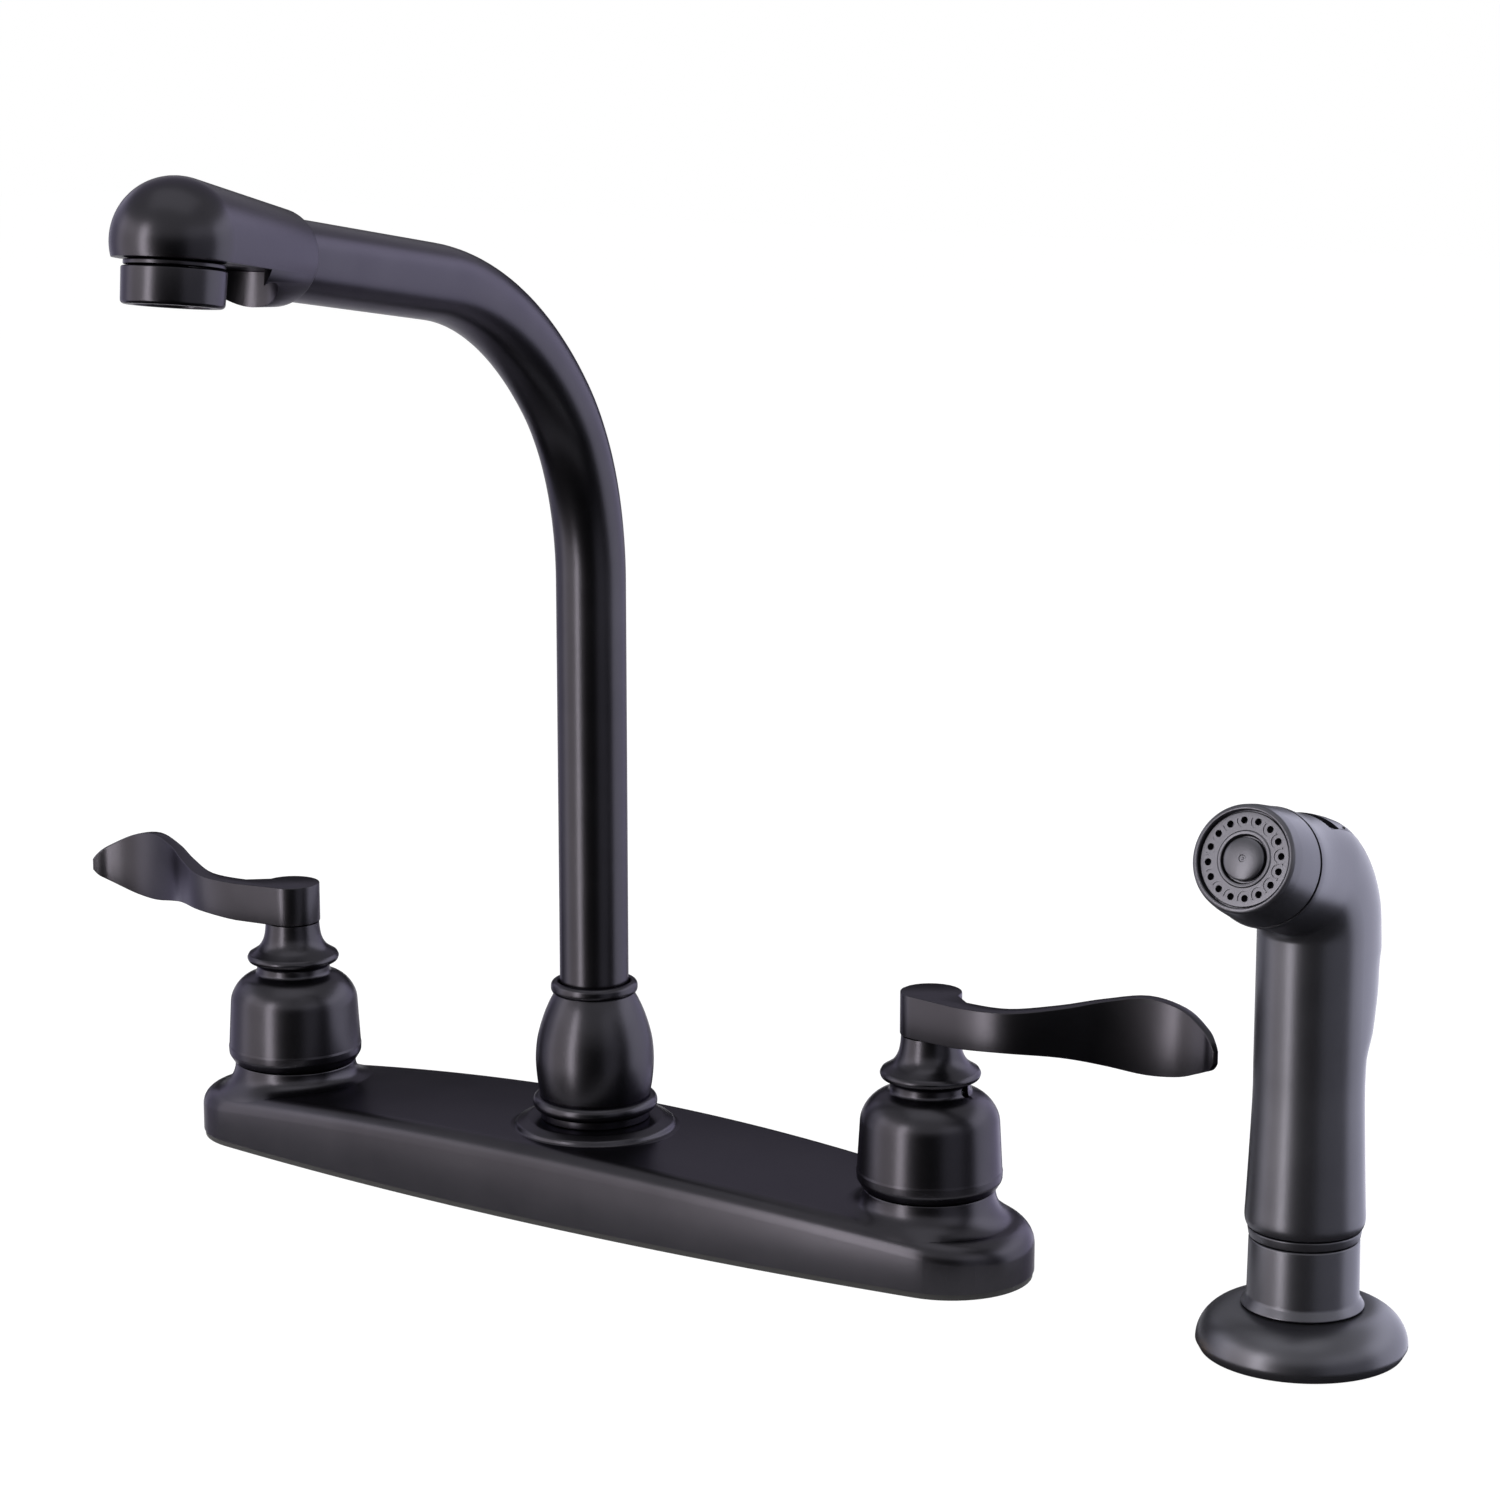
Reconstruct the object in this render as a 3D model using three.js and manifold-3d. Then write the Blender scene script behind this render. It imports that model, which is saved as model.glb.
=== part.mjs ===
// Two-handle kitchen faucet on a deck plate for 8 inch centres, with a swivelling high spout and a side sprayer.
// Millimetres, +Z up. The origin lies on the sink deck under the spout's axis, +X is to the user's right
// and -Y is towards the user. Both valves are closed, and the sprayer stands in its guide.
import * as THREE from "three";
import { mergeVertices } from "three/addons/utils/BufferGeometryUtils.js";
import Module from "manifold-3d";

const wasm = await Module();
wasm.setup();

// ---- Layout ----
const gap = 0.3; // clearance where pieces seat on, slide in or turn in each other
const holePitch = 101.6; // sink holes 4 inches apart: left valve, middle, right valve, sprayer
const spoutTurn = 11.3; // degrees the spout is swivelled from straight forward towards +X
const deckThickness = 5; // sink deck held between the gasket and the lock nuts

// ---- Deck plate and gasket ----
const plateLength = 257;
const plateWidth = 55.6;
const plateSideRadius = 900; // bow of the long sides
const plateTop = 15.5; // above the deck, at the handles
const plateCrown = 4.5; // the top is arched and rises by this much over the middle
const plateEdgeWidth = 5; // rounding of the upper edge, seen from above
const plateEdgeHeight = 5; // and seen from the side
const plateWall = 2.5;
const gasketThickness = 1.5;
const gasketInset = 0.8;

// ---- Bosses of the plate ----
const handleBossRadius = 16.4;
const handleBossTop = 21.3;
const handleBossFlare = 3;
const spoutBossRadius = 20.6;
const spoutBossTop = 22;
const spoutBossFlare = 0.6;
const spoutBossRound = 1.3;

// ---- Valve bodies below and inside the handles ----
const shankRadius = 10.4; // 1/2 inch pipe thread
const shankLength = 45; // below the deck
const shankBore = 6.4;
const valveFlangeRadius = 14.5;
const valveFlangeHeight = 9.6;
const valveNeckRadius = 12.6;
const valveNeckTop = 30;
const cartridgeRadius = 8.9;
const cartridgeSeat = 8; // height of the ledge that the seat seal lies on
const cartridgeHexSize = 20; // across the flats
const cartridgeHexHeight = 5.5;
const cartridgeNeckRadius = 6.2;
const cartridgeNeckHeight = 4;
const cartridgeOutletWidth = 5; // two windows over the discs let the water out
const cartridgeOutletRise = 1; // above the cavity
const sealThickness = 1;
const discRadius = 7.4;
const discThickness = 2.5;
const discPort = 2.6; // radius of the quarter ports through the discs
const stemRadius = 3.9;
const stemFlangeHeight = 2.2;
const stemSquare = 6; // driving square
const stemTop = 49.8;

// ---- Lock nuts and washers below the deck ----
const washerThickness = 1.5;
const shankWasherRadius = 19;
const nutHeight = 8;
const shankNutSize = 32; // across the flats

// ---- Handles: bell, neck, ring, collar, hub and lever ----
const bellFootRadius = 16.7;
const bellBeadRadius = 18.1;
const bellBeadRise = 2.1; // foot to the bead's lower edge
const bellBeadWidth = 2;
const bellBeadRound = 1.2;
const bellBeadStep = 0.6; // the bead slopes back to the side over this height
const bellSideRadius = 17.95;
const bellTaper = 0.7; // the side draws in by this much up to the shoulder
const bellHeight = 22.6; // foot to the shoulder's corner
const bellShoulder = 8; // radius of the shoulder
const bellWall = 3;
const bellCavityHeight = 19.6;
const neckRadius = 9.8;
const neckRise = 0.6; // shoulder corner to the neck's foot
const neckHeight = 3.3;
const neckFillet = 1.4;
const ringRadius = 12.6;
const ringRound = 0.9;
const ringRise = 2.4; // neck to the ring's nose
const collarRadius = 7.3;
const collarHeight = 9.6; // ring's nose to the collar's top
const collarFlare = 0.8; // wider by this much half way up
const collarFillet = 5;
const hubRadius = 7.6;
const hubHeight = 10.6;
const hubTaper = 0.4; // the hub is wider at its foot by this much
const hubSpigotRadius = 4.5;
const hubSpigotDepth = 4.4;
const leverScrewRadius = 2;
const leverScrewHead = 3;
const leverScrewHeadHeight = 2.9;
const leverScrewReach = 5.3; // thread inside the hub
const setScrewRadius = 1.9;
const setScrewLength = 5.3;

// ---- Lever blade, from the hub's axis outwards ----
const leverLength = 76;
const leverRootThickness = 6.8;
const leverPaddleThickness = 3;
const leverTipThickness = 1.4;
const leverPaddleStart = 0.6; // share of the length
const leverEdgeRound = 0.6;
const leverWaveFront = 7; // the blade's middle line first bows towards the user
const leverWaveBack = 8.4; // then sweeps back behind the hub's axis
const paddleRise = 5.2; // paddle's highest point above the hub's top
const paddleDrop = 3.2; // and its lowest point below the hub's underside

// ---- Centre body, diverter and spout bonnet ----
const postRadius = 12.4;
const postTop = 42;
const postFootRadius = 15;
const socketRadius = 9.5;
const socketFloor = 22;
const diverterRadius = 6.7;
const diverterFloor = 13;
const diverterWaistHeight = 2;
const diverterWaistDepth = 2;
const crossTubeRadius = 3.9;
const crossTubeHeight = 6.3;
const crossTubeWall = 1;
const crossTubeEngagement = 4;
const nippleRadius = 5;
const nippleThreadRadius = 6.6;
const nippleLength = 28; // below the deck
const nippleThreadLength = 12;
const nippleBore = 3;
const nippleSocket = 6; // depth of its socket in the centre body
const bonnetNeckRadius = 14.6;
const bonnetNeckHeight = 2.6;
const bonnetRingRadius = 16.3;
const bonnetRingHeight = 3.4;
const bonnetWaistRadius = 14.8;
const bonnetBellyRadius = 16.1;
const bonnetBellyHeight = 40.6; // above the deck
const bonnetTopRadius = 10.6;
const bonnetTop = 55.8;
const bonnetBeadRadius = 1.5;
const bonnetBeadReach = 0.8; // the bead's edge outside the vase's top
const bonnetWall = 1.3; // over the spout's bushing

// ---- Spout ----
const tubeRadius = 8.9;
const tubeWall = 1.2;
const riserTop = 163; // where the bend starts
const lowerBendRadius = 69;
const lowerBendAngle = 45;
const upperBendRadius = 121;
const armSlope = 8.5; // the arm rises by this angle after the bend
const armLength = 112.8; // end of the bend to the aerator's axis
const footLength = 18; // spigot in the socket
const footFlangeRadius = 11.2;
const footFlangeHeight = 3.5;
const footBore = 6.3;
const footCupDepth = 2.4;
const bushingThickness = 1.4;
const sealRingRadius = 1;
const sealClearance = 0.25; // outside the ring, in the socket
const sealGrooveWidth = 2.6;
const sealGrooveDepth = 2.1;
const sealRingSides = 6;
const headRearRadius = 10.4;
const headDomeRadius = 13.4;
const headLength = 42.1; // rear rim to the aerator's axis
const headRimRound = 1.3;
const headTubeDepth = 15.5; // how far the tube enters the head
const headFloor = 3.7; // the notch's ceiling below the arm's axis
const headNotch = 19.8; // aerator's axis to the notch's rear face
const aeratorRadius = 10.8;
const aeratorHeight = 7.7;
const aeratorWall = 1.9;
const aeratorRound = 0.8;
const aeratorRingRadius = 10.4;
const aeratorRingHeight = 1;
const aeratorThreadRadius = 9.6;
const aeratorThreadLength = 6;
const aeratorBore = 7.5;
const aeratorLip = 1;
const screenThickness = 2;
const screenHole = 0.9;

// ---- Sprayer flange and guide ----
const flangeRadius = 24.9;
const flangeRimHeight = 2;
const flangeTop = 10.9;
const flangeWall = 2.4;
const guideFootRadius = 14.55;
const guideFootHeight = 2.3;
const guideRadius = 12.9;
const guideTop = 27.5;
const guideBore = 9.3;
const guideShankRadius = 11;
const guideShankLength = 32;
const guideWasherRadius = 17;
const guideNutSize = 29;

// ---- Sprayer ----
const wandFootRadius = 14;
const wandFootChamfer = 0.7;
const wandRadius = 12.9;
const wandTaperTop = 60; // height where the grip reaches its radius
const wandBandRadius = 13.3;
const wandBandHeight = 2.2;
const wandBandFlare = 0.5; // narrower by this much at its foot
const wandSpigotRadius = 9;
const wandSpigotLength = 10;
const wandThreadRadius = 9.4;
const wandThreadLength = 7;
const hoseBore = 5;
const tailRadius = 4.6;
const tailBore = 2.8;
const tailLength = 17;
const elbowStart = 100.1; // height where the wand starts to bend
const elbowRadius = 16;
const nozzleTilt = 20; // degrees the nozzle points above level
const nozzleReach = 16.5; // end of the bend to the nozzle's joint
const jointRadius = 13.85;
const humpFoot = 71; // where the rear housing starts
const humpTop = 91;
const humpBack = 20;
const lipHeight = 95.4; // the trigger's lip
const lipBack = 21.3;
const lipRise = 2; // the lip swells over this height
const elbowBack = 15.2; // rear half depth over the elbow
const wandBackPower = 0.83; // 1 draws the back as an ellipse, less as a fuller curve
const nozzleLength = 12; // joint to the face's rim
const nozzleRimRadius = 12.2;
const nozzleRimWidth = 1.2;
const nozzleShoulder = 3; // the collar draws in over this length below the rim
const nozzleThreadRadius = 9.7;
const nozzleThreadLength = 6;
const faceRecess = 1.2;
const faceThickness = 2.4;
const jetCount = 16;
const jetCircle = 8.95;
const jetRadius = 0.75;
const buttonRing = 5.75;
const buttonRadius = 4.9;
const buttonHeight = 1.8;

// ---- Trigger and spray valve ----
const triggerWidth = 16;
const triggerThickness = 3;
const pinRadius = 1.1;
const pinLength = 19;
const pinAngle = 53.2; // degrees from level, round the centre of the elbow's bend
const pinClearance = 0.6; // the lug's clearance over the pocket's floor
const lugRadius = 2.6;
const pocketFloorRadius = 21; // about the elbow's bend centre
const pocketFloorBack = 7;
const pocketFoot = 85;
const pocketFront = -11; // the slit behind the nozzle's joint
const chamberRadius = 5;
const chamberTop = 103;
const passageRadius = 3.4;
const plungerHeight = 97;
const plungerRadius = 1.7;
const plungerHeadRadius = 3.2;
const plungerHeadThickness = 2;
const springWire = 0.35; // wire radius
const springCoil = 2.6; // mean radius of the trigger's return spring
const springTurns = 3;
const springLeg = 6;

// ---- Shape helpers ----
const arcSag = 0.27; // how far the chords of an arc may leave it
const chordSlack = 0.25; // share of a chord that may be left out
const mostSides = 16; // of a turned body
const mergeDistance = 1e-4;

const radians = THREE.MathUtils.degToRad;

// How many chords an arc of this radius and turn needs.
function chords(radius, turn) {
  return Math.max(1, Math.ceil(Math.abs(turn) / (2 * Math.acos(1 - arcSag / radius)) - chordSlack));
}

// The points of a closed outline given as corners [x, y, radius]: a radius turns its corner into an arc.
function outline(corners) {
  const points = [];
  corners.forEach(([x, y, radius = 0], i) => {
    const corner = new THREE.Vector2(x, y);
    if (!radius) {
      points.push(corner);
      return;
    }
    const [beforeX, beforeY] = corners.at(i - 1);
    const [afterX, afterY] = corners[(i + 1) % corners.length];
    const before = new THREE.Vector2(beforeX, beforeY).sub(corner).normalize();
    const after = new THREE.Vector2(afterX, afterY).sub(corner).normalize();
    const half = Math.acos(THREE.MathUtils.clamp(before.dot(after), -1, 1)) / 2;
    const middle = before.clone().add(after).normalize();
    const centre = corner.clone().addScaledVector(middle, radius / Math.sin(half));
    const start = corner.clone().addScaledVector(before, radius / Math.tan(half)).sub(centre);
    const sweep = (Math.PI - 2 * half) * -Math.sign(before.cross(after));
    const steps = chords(Math.max(radius, arcSag), sweep);
    for (let k = 0; k <= steps; k += 1) {
      const turned = start.clone().rotateAround(new THREE.Vector2(), (sweep * k) / steps);
      points.push(turned.add(centre));
    }
  });
  return points;
}

// A body turned about +Z from corners [radius, height, rounding] that run up the outside.
function turned(corners, sides = sidesFor(Math.max(...corners.map(([radius]) => radius)))) {
  const points = outline(corners);
  const closesOnAxis = points[0].x === 0 && points.at(-1).x === 0;
  if (!closesOnAxis) points.push(points[0].clone());
  return new THREE.LatheGeometry(points, sides).rotateX(Math.PI / 2);
}

// A multiple of four, so that the sides reach the full radius along X and Y.
function sidesFor(radius) {
  return Math.min(mostSides, 4 * Math.ceil(chords(radius, 2 * Math.PI) / 4));
}

function rod(radius, from, to, sides) {
  return turned([[0, from], [radius, from], [radius, to], [0, to]], sides);
}

function sleeve(inner, outer, from, to) {
  return turned([[inner, from], [outer, from], [outer, to], [inner, to]]);
}

// A six-sided nut blank, its size measured across the flats.
function hexagon(size, from, to) {
  return rod(size / Math.sqrt(3), from, to, 6);
}

function block(width, depth, from, to) {
  return new THREE.BoxGeometry(width, depth, to - from).translate(0, 0, (from + to) / 2);
}

// A flat outline in the Y-Z plane, extruded evenly to both sides of X = 0.
function sideways(corners, width) {
  const shape = new THREE.Shape(outline(corners));
  const plate = new THREE.ExtrudeGeometry(shape, { depth: width, bevelEnabled: false });
  plate.translate(0, 0, -width / 2);
  return plate.rotateY(Math.PI / 2).rotateX(Math.PI / 2);
}

// A closed skin over rings of points; each ring runs counter-clockwise seen against the direction of travel.
// Its ends are closed by fans, or an arched last ring by strips across it.
function loft(rings, arched = false) {
  const count = rings[0].length;
  const points = rings.flat();
  const faces = [];
  for (let i = 0; i + 1 < rings.length; i += 1) {
    for (let j = 0; j < count; j += 1) {
      const a = i * count + j;
      const b = i * count + ((j + 1) % count);
      faces.push(a, b, b + count, a, b + count, a + count);
    }
  }
  const firstMiddle = points.length;
  const lastMiddle = firstMiddle + 1;
  const last = (rings.length - 1) * count;
  points.push(middleOf(rings[0]), middleOf(rings.at(-1)));
  for (let j = 0; j < count; j += 1) {
    const next = (j + 1) % count;
    faces.push(firstMiddle, next, j);
    if (!arched) faces.push(lastMiddle, last + j, last + next);
  }
  if (arched) faces.push(...strips(rings.at(-1)).map((corner) => last + corner));
  const skin = new THREE.BufferGeometry().setFromPoints(points);
  skin.setIndex(faces);
  return skin;
}

// Strips across a ring that is the same on both sides of Y = 0, from its tip at +X to the other tip.
function strips(ring) {
  const count = ring.length;
  const tip = ring.indexOf(ring.reduce((far, point) => (point.x > far.x ? point : far)));
  const faces = [];
  for (let j = 0; j < count / 2; j += 1) {
    const near = [tip + j, tip + j + 1];
    const far = [tip - j, tip - j - 1];
    const [a, b, c, d] = [...near, ...far].map((corner) => (corner + count) % count);
    if (b !== d) faces.push(a, b, d);
    if (a !== c) faces.push(a, d, c);
  }
  return faces;
}

function middleOf(ring) {
  const sum = ring.reduce((total, point) => total.add(point), new THREE.Vector3());
  return sum.divideScalar(ring.length);
}

function toSolid(geometry) {
  const source = geometry.index ? geometry.toNonIndexed() : geometry;
  const bare = new THREE.BufferGeometry().setAttribute("position", source.getAttribute("position"));
  const merged = mergeVertices(bare, mergeDistance);
  const vertProperties = merged.getAttribute("position").array;
  const triVerts = new Uint32Array(merged.index.array);
  return new wasm.Manifold(new wasm.Mesh({ numProp: 3, vertProperties, triVerts }));
}

function fromSolid(body) {
  const { vertProperties, triVerts } = body.getMesh();
  const geometry = new THREE.BufferGeometry();
  geometry.setAttribute("position", new THREE.BufferAttribute(vertProperties, 3));
  geometry.setIndex(new THREE.BufferAttribute(triVerts, 1));
  geometry.computeVertexNormals();
  return geometry;
}

function join(...geometries) {
  return fromSolid(geometries.map(toSolid).reduce((sum, next) => sum.add(next)));
}

function cut(geometry, ...tools) {
  return fromSolid(tools.map(toSolid).reduce((rest, tool) => rest.subtract(tool), toSolid(geometry)));
}

function overlapOf(geometry, tool) {
  return fromSolid(toSolid(geometry).intersect(toSolid(tool)));
}

// ---- Materials ----
const bronze = () => new THREE.MeshStandardMaterial({ color: 0x1b1a1d, roughness: 0.38, metalness: 0.75 });
const sprayBronze = () => new THREE.MeshStandardMaterial({ color: 0x2b2a2e, roughness: 0.45, metalness: 0.6 });
const brass = () => new THREE.MeshStandardMaterial({ color: 0xb08d4a, roughness: 0.4, metalness: 0.9 });
const copper = () => new THREE.MeshStandardMaterial({ color: 0xb26a43, roughness: 0.4, metalness: 0.9 });
const steel = () => new THREE.MeshStandardMaterial({ color: 0x9da0a3, roughness: 0.35, metalness: 0.9 });
const rubber = () => new THREE.MeshStandardMaterial({ color: 0x161616, roughness: 0.85, metalness: 0 });
const blackPlastic = () => new THREE.MeshStandardMaterial({ color: 0x202022, roughness: 0.55, metalness: 0 });
const whitePlastic = () => new THREE.MeshStandardMaterial({ color: 0xd8d6cf, roughness: 0.5, metalness: 0 });
const ceramic = () => new THREE.MeshStandardMaterial({ color: 0xeeebe4, roughness: 0.25, metalness: 0 });

function piece(name, geometry, material) {
  const mesh = new THREE.Mesh(geometry, material());
  mesh.name = name;
  return mesh;
}

// ---- Deck plate and gasket ----
// Height of the plate's arched top.
const crownAt = (x) => plateTop + plateCrown * (1 - (x / holePitch) ** 2);

// The boat-shaped outline is two bowed sides and two round ends that meet them smoothly, drawn in by inset.
// Its height depends on X.
function plateRing(inset, heightAt) {
  const length = plateLength / 2;
  const sideCentre = plateSideRadius - plateWidth / 2;
  const endRadius =
    (plateSideRadius ** 2 - sideCentre ** 2 - length ** 2) / (2 * (plateSideRadius - length));
  const endCentre = length - endRadius;
  const sideTurn = Math.atan2(endCentre, sideCentre);
  const ring = [];
  const arc = (x, y, radius, middle, half) => {
    const steps = 2 * chords(radius, half);
    for (let k = 0; k < steps; k += 1) {
      const turn = middle - half + (2 * half * k) / steps;
      const reach = radius - inset;
      const pointX = x + reach * Math.cos(turn);
      ring.push(new THREE.Vector3(pointX, y + reach * Math.sin(turn), heightAt(pointX)));
    }
  };
  arc(endCentre, 0, endRadius, 0, Math.PI / 2 - sideTurn);
  arc(0, -sideCentre, plateSideRadius, Math.PI / 2, sideTurn);
  arc(-endCentre, 0, endRadius, Math.PI, Math.PI / 2 - sideTurn);
  arc(0, sideCentre, plateSideRadius, (3 * Math.PI) / 2, sideTurn);
  return ring;
}

function handleBoss(side) {
  const foot = plateTop - 2 * plateWall;
  const flareRadius = handleBossRadius + handleBossFlare;
  const boss = turned(
    [
      [0, foot],
      [flareRadius, foot],
      [flareRadius, plateTop - plateWall],
      [handleBossRadius, plateTop, handleBossFlare],
      [handleBossRadius, handleBossTop],
      [0, handleBossTop],
    ],
  );
  return boss.translate(side * holePitch, 0, 0);
}

function spoutBoss() {
  const flareRadius = spoutBossRadius + spoutBossFlare;
  return turned(
    [
      [0, plateTop],
      [flareRadius, plateTop],
      [flareRadius, crownAt(spoutBossRadius)],
      [spoutBossRadius, crownAt(0), spoutBossFlare],
      [spoutBossRadius, spoutBossTop, spoutBossRound],
      [0, spoutBossTop],
    ],
  );
}

function deckPlate() {
  const edgeSteps = 3;
  const rings = [plateRing(0, () => gasketThickness)];
  for (let k = 0; k <= edgeSteps; k += 1) {
    const turn = (k / edgeSteps) * (Math.PI / 2);
    const inset = plateEdgeWidth * (1 - Math.cos(turn));
    rings.push(plateRing(inset, (x) => crownAt(x) - plateEdgeHeight * (1 - Math.sin(turn))));
  }
  const shell = join(loft(rings, true), handleBoss(-1), handleBoss(1), spoutBoss());
  const innerEdge = plateWall + plateEdgeWidth / 2;
  const hollow = loft(
    [
      plateRing(plateWall, () => gasketThickness - gap),
      plateRing(plateWall, (x) => crownAt(x) - plateEdgeHeight),
      plateRing(innerEdge, (x) => crownAt(x) - plateWall),
    ],
    true,
  );
  const holeFoot = gasketThickness;
  const holes = [-1, 1].map((side) =>
    rod(valveNeckRadius + gap, holeFoot, handleBossTop + gap)
      .translate(side * holePitch, 0, 0));
  const postHole = rod(postRadius + gap, holeFoot, spoutBossTop + gap);
  return cut(shell, hollow, postHole, ...holes);
}

function deckGasket() {
  const sheet = loft([plateRing(gasketInset, () => 0), plateRing(gasketInset, () => gasketThickness)]);
  const through = [-gap, gasketThickness + gap];
  const holes = [-1, 1].map((side) =>
    rod(shankRadius + gap, ...through).translate(side * holePitch, 0, 0));
  return cut(sheet, rod(nippleThreadRadius + gap, ...through), ...holes);
}

// ---- Valve bodies, cartridges and their nuts; each is modelled on its own axis ----
const cartridgeFoot = cartridgeSeat + sealThickness + gap;
const discFoot = cartridgeFoot;
const turningDiscFoot = discFoot + discThickness + gap;
const stemFoot = turningDiscFoot + discThickness + gap;
const cartridgeHexFoot = valveNeckTop + gap;

function valveBody(side) {
  const body = turned([
    [shankBore, -shankLength],
    [shankRadius, -shankLength],
    [shankRadius, gasketThickness],
    [valveFlangeRadius, gasketThickness],
    [valveFlangeRadius, gasketThickness + valveFlangeHeight],
    [valveNeckRadius, gasketThickness + valveFlangeHeight],
    [valveNeckRadius, valveNeckTop],
    [cartridgeRadius + gap, valveNeckTop],
    [cartridgeRadius + gap, cartridgeSeat],
    [shankBore, cartridgeSeat],
  ]);
  return cut(body, crossSocket(-side, valveFlangeRadius));
}

// The socket that a cross tube enters, opening towards +X or -X at the given radius of its body.
function crossSocket(side, radius) {
  const socket = rod(crossTubeRadius + gap, radius - crossTubeEngagement - gap, radius + gap);
  return socket.rotateY((side * Math.PI) / 2).translate(0, 0, crossTubeHeight);
}

function crossTube() {
  const from = postFootRadius - crossTubeEngagement;
  const to = holePitch - valveFlangeRadius + crossTubeEngagement;
  const tube = sleeve(crossTubeRadius - crossTubeWall, crossTubeRadius, from, to);
  return tube.rotateY(Math.PI / 2).translate(0, 0, crossTubeHeight);
}

function seatSeal() {
  return sleeve(shankBore, cartridgeRadius, cartridgeSeat, cartridgeSeat + sealThickness);
}

function cartridge() {
  const cavityTop = stemFoot + stemFlangeHeight + gap;
  const hexTop = cartridgeHexFoot + cartridgeHexHeight;
  const barrel = sleeve(stemRadius + gap, cartridgeRadius, cartridgeFoot, hexTop - gap);
  const neck = turned([
    [stemRadius + gap, cartridgeHexFoot + gap],
    [cartridgeNeckRadius, cartridgeHexFoot + gap],
    [cartridgeNeckRadius, hexTop + cartridgeNeckHeight],
    [stemRadius + gap, hexTop + cartridgeNeckHeight],
  ]);
  const head = cut(
    hexagon(cartridgeHexSize, cartridgeHexFoot, hexTop),
    rod(stemRadius + gap, cartridgeHexFoot - gap, hexTop + gap),
  );
  const cavity = rod(discRadius + gap, cartridgeFoot - gap, cavityTop);
  const outlets = block(
    2 * cartridgeRadius + gap,
    cartridgeOutletWidth,
    stemFoot,
    cavityTop + cartridgeOutletRise,
  );
  return cut(join(barrel, neck, head), cavity, outlets);
}

// The ports are two opposite quarters, so a quarter turn of the upper disc opens or closes them.
function valveDisc(foot, turn) {
  const ports = [0, 1].map((half) =>
    rod(discPort, foot - gap, foot + discThickness + gap)
      .translate(discRadius / 2, 0, 0)
      .rotateZ(turn + half * Math.PI));
  return cut(rod(discRadius, foot, foot + discThickness), ...ports);
}

function stem() {
  const squareFoot = cartridgeHexFoot + cartridgeHexHeight + cartridgeNeckHeight;
  const shaft = turned([
    [0, stemFoot],
    [discRadius, stemFoot],
    [discRadius, stemFoot + stemFlangeHeight],
    [stemRadius, stemFoot + stemFlangeHeight],
    [stemRadius, squareFoot + 1],
    [0, squareFoot + 1],
  ]);
  return join(shaft, block(stemSquare, stemSquare, squareFoot + gap, stemTop));
}

function lockWasher(inner, outer) {
  return sleeve(inner + gap, outer, -deckThickness - washerThickness, -deckThickness);
}

function lockNut(inner, size) {
  const top = -deckThickness - washerThickness - gap;
  return cut(
    hexagon(size, top - nutHeight, top),
    rod(inner + gap, top - nutHeight - gap, top + gap),
  );
}

// ---- Handles ----
const bellFoot = handleBossTop + gap;
const bellShoulderHeight = bellFoot + bellHeight;
const neckFoot = bellShoulderHeight + neckRise;
const neckTop = neckFoot + neckHeight;
const ringHeight = neckTop + ringRise;
const collarTop = ringHeight + collarHeight;
const hubFoot = collarTop + gap;
const hubTop = hubFoot + hubHeight;
const broachTop = stemTop + 2 * gap + leverScrewHeadHeight;
const setScrewHeight = neckFoot + setScrewRadius / 4;

function handleBase(side) {
  const cavityTop = bellFoot + bellCavityHeight;
  const boreRadius = leverScrewRadius + gap;
  const spigotPocket = hubSpigotRadius + gap;
  const body = turned(
    [
      [bellFootRadius - bellWall / 2, bellFoot],
      [bellFootRadius, bellFoot],
      [bellBeadRadius, bellFoot + bellBeadRise, bellBeadRound],
      [bellBeadRadius, bellFoot + bellBeadRise + bellBeadWidth],
      [bellSideRadius, bellFoot + bellBeadRise + bellBeadWidth + bellBeadStep],
      [bellSideRadius - bellTaper, bellShoulderHeight, bellShoulder],
      [neckRadius, neckFoot, neckFillet],
      [neckRadius, neckTop],
      [ringRadius, ringHeight, ringRound],
      [collarRadius + collarFlare, ringHeight + collarHeight / 2, collarFillet],
      [collarRadius, collarTop],
      [spigotPocket, collarTop],
      [spigotPocket, collarTop - hubSpigotDepth],
      [boreRadius, collarTop - hubSpigotDepth],
      [boreRadius, cavityTop],
      [bellSideRadius - bellWall - 3 * bellTaper, cavityTop],
      [bellSideRadius - bellWall, bellFoot + bellBeadRise],
    ],
  );
  const broach = block(stemSquare + 2 * gap, stemSquare + 2 * gap, cavityTop - gap, broachTop);
  const screwHole = rod(setScrewRadius + gap, stemSquare / 2, bellBeadRadius)
    .rotateY((side * Math.PI) / 2)
    .translate(0, 0, setScrewHeight);
  return cut(body, broach, screwHole);
}

function setScrew(side) {
  const from = stemSquare / 2 + gap;
  const screw = rod(setScrewRadius, from, from + setScrewLength);
  const key = hexagon(setScrewRadius, from + setScrewLength - 2, from + setScrewLength + gap);
  return cut(screw, key).rotateY((side * Math.PI) / 2).translate(0, 0, setScrewHeight);
}

function leverScrew() {
  const headFoot = stemTop + gap;
  const headTop = headFoot + leverScrewHeadHeight;
  return turned(
    [
      [0, headFoot],
      [leverScrewHead, headFoot],
      [leverScrewHead, headTop],
      [leverScrewRadius, headTop],
      [leverScrewRadius, hubFoot + leverScrewReach],
      [0, hubFoot + leverScrewReach],
    ],
  );
}

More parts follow.
